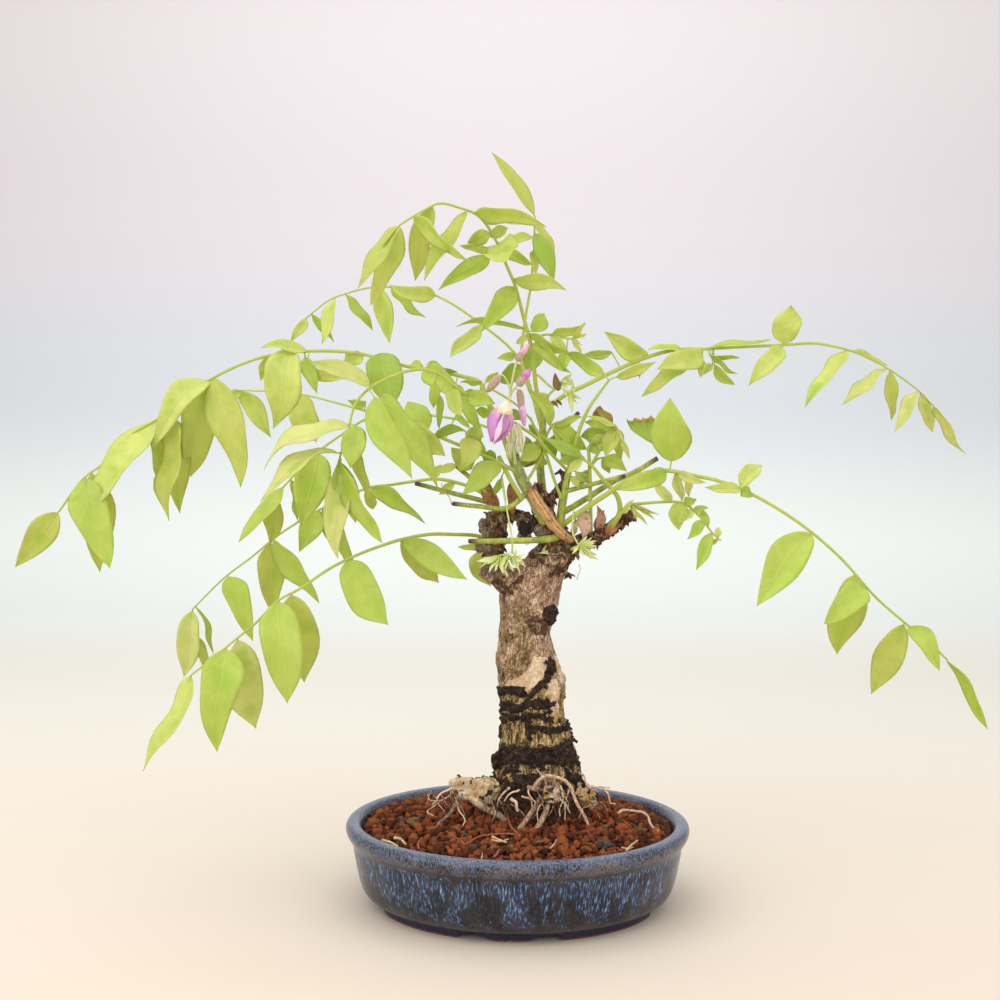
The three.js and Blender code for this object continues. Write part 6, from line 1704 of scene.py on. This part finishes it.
open_lilac, start, where = new_material("open_petal_lilac")
mark = start.attribute("mark")
across = start.math("ABSOLUTE", mark.part(0))
along = mark.part(1)
streak = where.stretched(1, 1, 0.25).noise(900, 2)
lilac = (mark.part(2) + 0.35 * streak).shades(0.4, 1.1, (222, 150, 212), (250, 226, 240))
lilac = (across.step(0.55, 1) * 0.75).blend(lilac, rgb(168, 84, 164))
lilac = (along.step(0.55, 1) * 0.5).blend(lilac, rgb(196, 118, 192))
lilac = ((1 - along.step(0.05, 0.4)) * 0.7).blend(lilac, rgb(250, 232, 232))
petal_surface = principled(start, lilac, 0.5, streak, 0.0002)
petal_glow = start.node("BsdfTranslucent", {}, {"Color": rgb(226, 160, 216)})
finish_with(start, start.node("MixShader", {}, {0: 0.2, 1: petal_surface, 2: petal_glow}))
skin = Skin()
chance = random.Random(12)
depth = OPEN_FLOWER[-1]
for u, v, tip_u, tip_v, lean, width, bow, shade in PETALS:
    leaflet(skin, place(u, v, depth), place(tip_u, tip_v, depth + lean), width, bow, chance, 14, 5, shade)
stand_in("lilac_petals", skin, open_lilac, "petal_lilac", "petals_open_flower")


# Dry papery husks at the top of the trunk: brown bracts and bud scales round the shoots, and one
# tan sheath that is still folded round the foot of the downy shoot.
# Each husk: foot and tip (u, v), depth, width, bow, how far it curls, and its tint.
HUSKS = [
    (-5.4, 235.6, -4, 216, -7, 5.8, 0.6, -0.6, 0), (-20.6, 236.6, -12.6, 218, -8, 6.2, -1, -0.6, 0),
    (-12, 221, -14.6, 232, -6, 4, 0.6, 1, 0), (36.2, 221.6, 35.4, 204, -6, 7.6, 0.8, -0.6, 2),
    (21.6, 287.4, 19.4, 297.6, 0, 4.4, 0.5, 0.6, 4), (20.4, 282.4, 23.6, 279, 0, 1.8, 0, 0.6, 0),
    (17.4, 281.6, 21.4, 277.8, 0, 1.8, 0.5, 0.6, 0), (43, 271.6, 44.6, 279.4, -4, 6, 0, 0.6, 1),
    (30.4, 207, 31.6, 216, -4, 4, 0, 1, 2), (45, 209, 43.2, 223.4, -3, 5.4, -1.6, 1.2, 3),
    (43, 209, 47.6, 221, -2, 4, 1, 1, 3), (49, 206, 56, 214, -5, 5, 0.6, 1, 0),
    (14, 213, 20, 222.4, -5, 4, 0.6, 1, 1), (6.6, 228, 8.6, 237, -10, 3, 0, 1, 0),
]
HUSK_TINTS = [rgb(*tint)[:3] for tint in [
    (168, 104, 62), (192, 146, 98), (234, 206, 184), (190, 146, 128), (142, 118, 56)]]
SHEATH_TINT = 1
FIBRE_TINT = 3
# The sheath's points (u, v, depth) and its radii, and two dry fibres that hang from the old top.
SHEATH = [(6.2, 232.4, -12), (9.6, 226, -12.4), (14, 219.6, -12.4), (19, 212.4, -11.6), (24.6, 206.8, -9.6),
          (29.6, 203.6, -6)]
SHEATH_RADII = [2.7, 3, 3.2, 3.1, 2.6, 1.8]
SHEATH_SIDES = 28
DRY_FIBRES = [[(-44, 235, -14), (-42.4, 231, -15), (-39.6, 227.6, -15), (-38, 223, -15)],
              [(33.6, 190.4, -12), (34.2, 187, -13), (33, 184, -13), (32.4, 181.6, -13)]]
husk_brown, start, where = new_material("dry_husk")
mark = start.attribute("mark")
tint = start.attribute("tint")
ribs = start.math("SINE", mark.part(0) * 26 + 3 * where.noise(160, 2))
rib_lines = (ribs + 0.8 * where.stretched(1, 1, 0.5).noise(900, 3)).step(-0.4, 1.3)
husk = (rib_lines * 0.5).blend(tint, rgb(236, 190, 132))
husk = ((1 - where.noise(420, 3).step(0.3, 0.5)) * 0.7).blend(husk, rgb(112, 60, 34))
husk = (mark.part(1).step(0.9, 1) * 0.6).blend(husk, rgb(96, 54, 34))
finish_with(start, principled(start, husk, 0.7, rib_lines, 0.0004))
skin = Skin()
chance = random.Random(3)
for u, v, tip_u, tip_v, depth, width, bow, curl, tint_index in HUSKS:
    tip = place(tip_u, tip_v, depth - 3 * curl)
    leaflet(skin, place(u, v, depth), tip, width, bow, chance, 10, 3, tint=HUSK_TINTS[tint_index])
line = drawn_line(SHEATH, 6)
radii = np.interp(np.linspace(0, 1, len(line)), np.linspace(0, 1, len(SHEATH_RADII)), SHEATH_RADII)
points, faces = tube(line, radii, SHEATH_SIDES, 0.03)
along = np.append(np.repeat(np.linspace(1, 0, len(line)), SHEATH_SIDES), [0.6, 0])
around = np.append(np.tile(np.linspace(0, 1, SHEATH_SIDES, endpoint=False), len(line)), [0, 0])
# Its mouth is frayed, and its inner end lies a little within.
for k in range(SHEATH_SIDES):
    fray = 1.1 * math.sin(3 * k / SHEATH_SIDES * 2 * math.pi) + 0.6 * math.sin(k * 2.4)
    points[k] = points[k] + (line[0] - line[1]) * fray
points[-2] = points[-2] + line[3] - line[0]
marks = np.stack([around, along, np.zeros(len(points))], 1)
skin.add(points, faces, mark=marks, tint=HUSK_TINTS[SHEATH_TINT])
for points in DRY_FIBRES:
    skin.add(*tube(drawn_line(points, 6), 0.28, 6), mark=(0, 0.2, 0), tint=HUSK_TINTS[FIBRE_TINT])
stand_in("dry_husks", skin, husk_brown, "bark", "trunk")
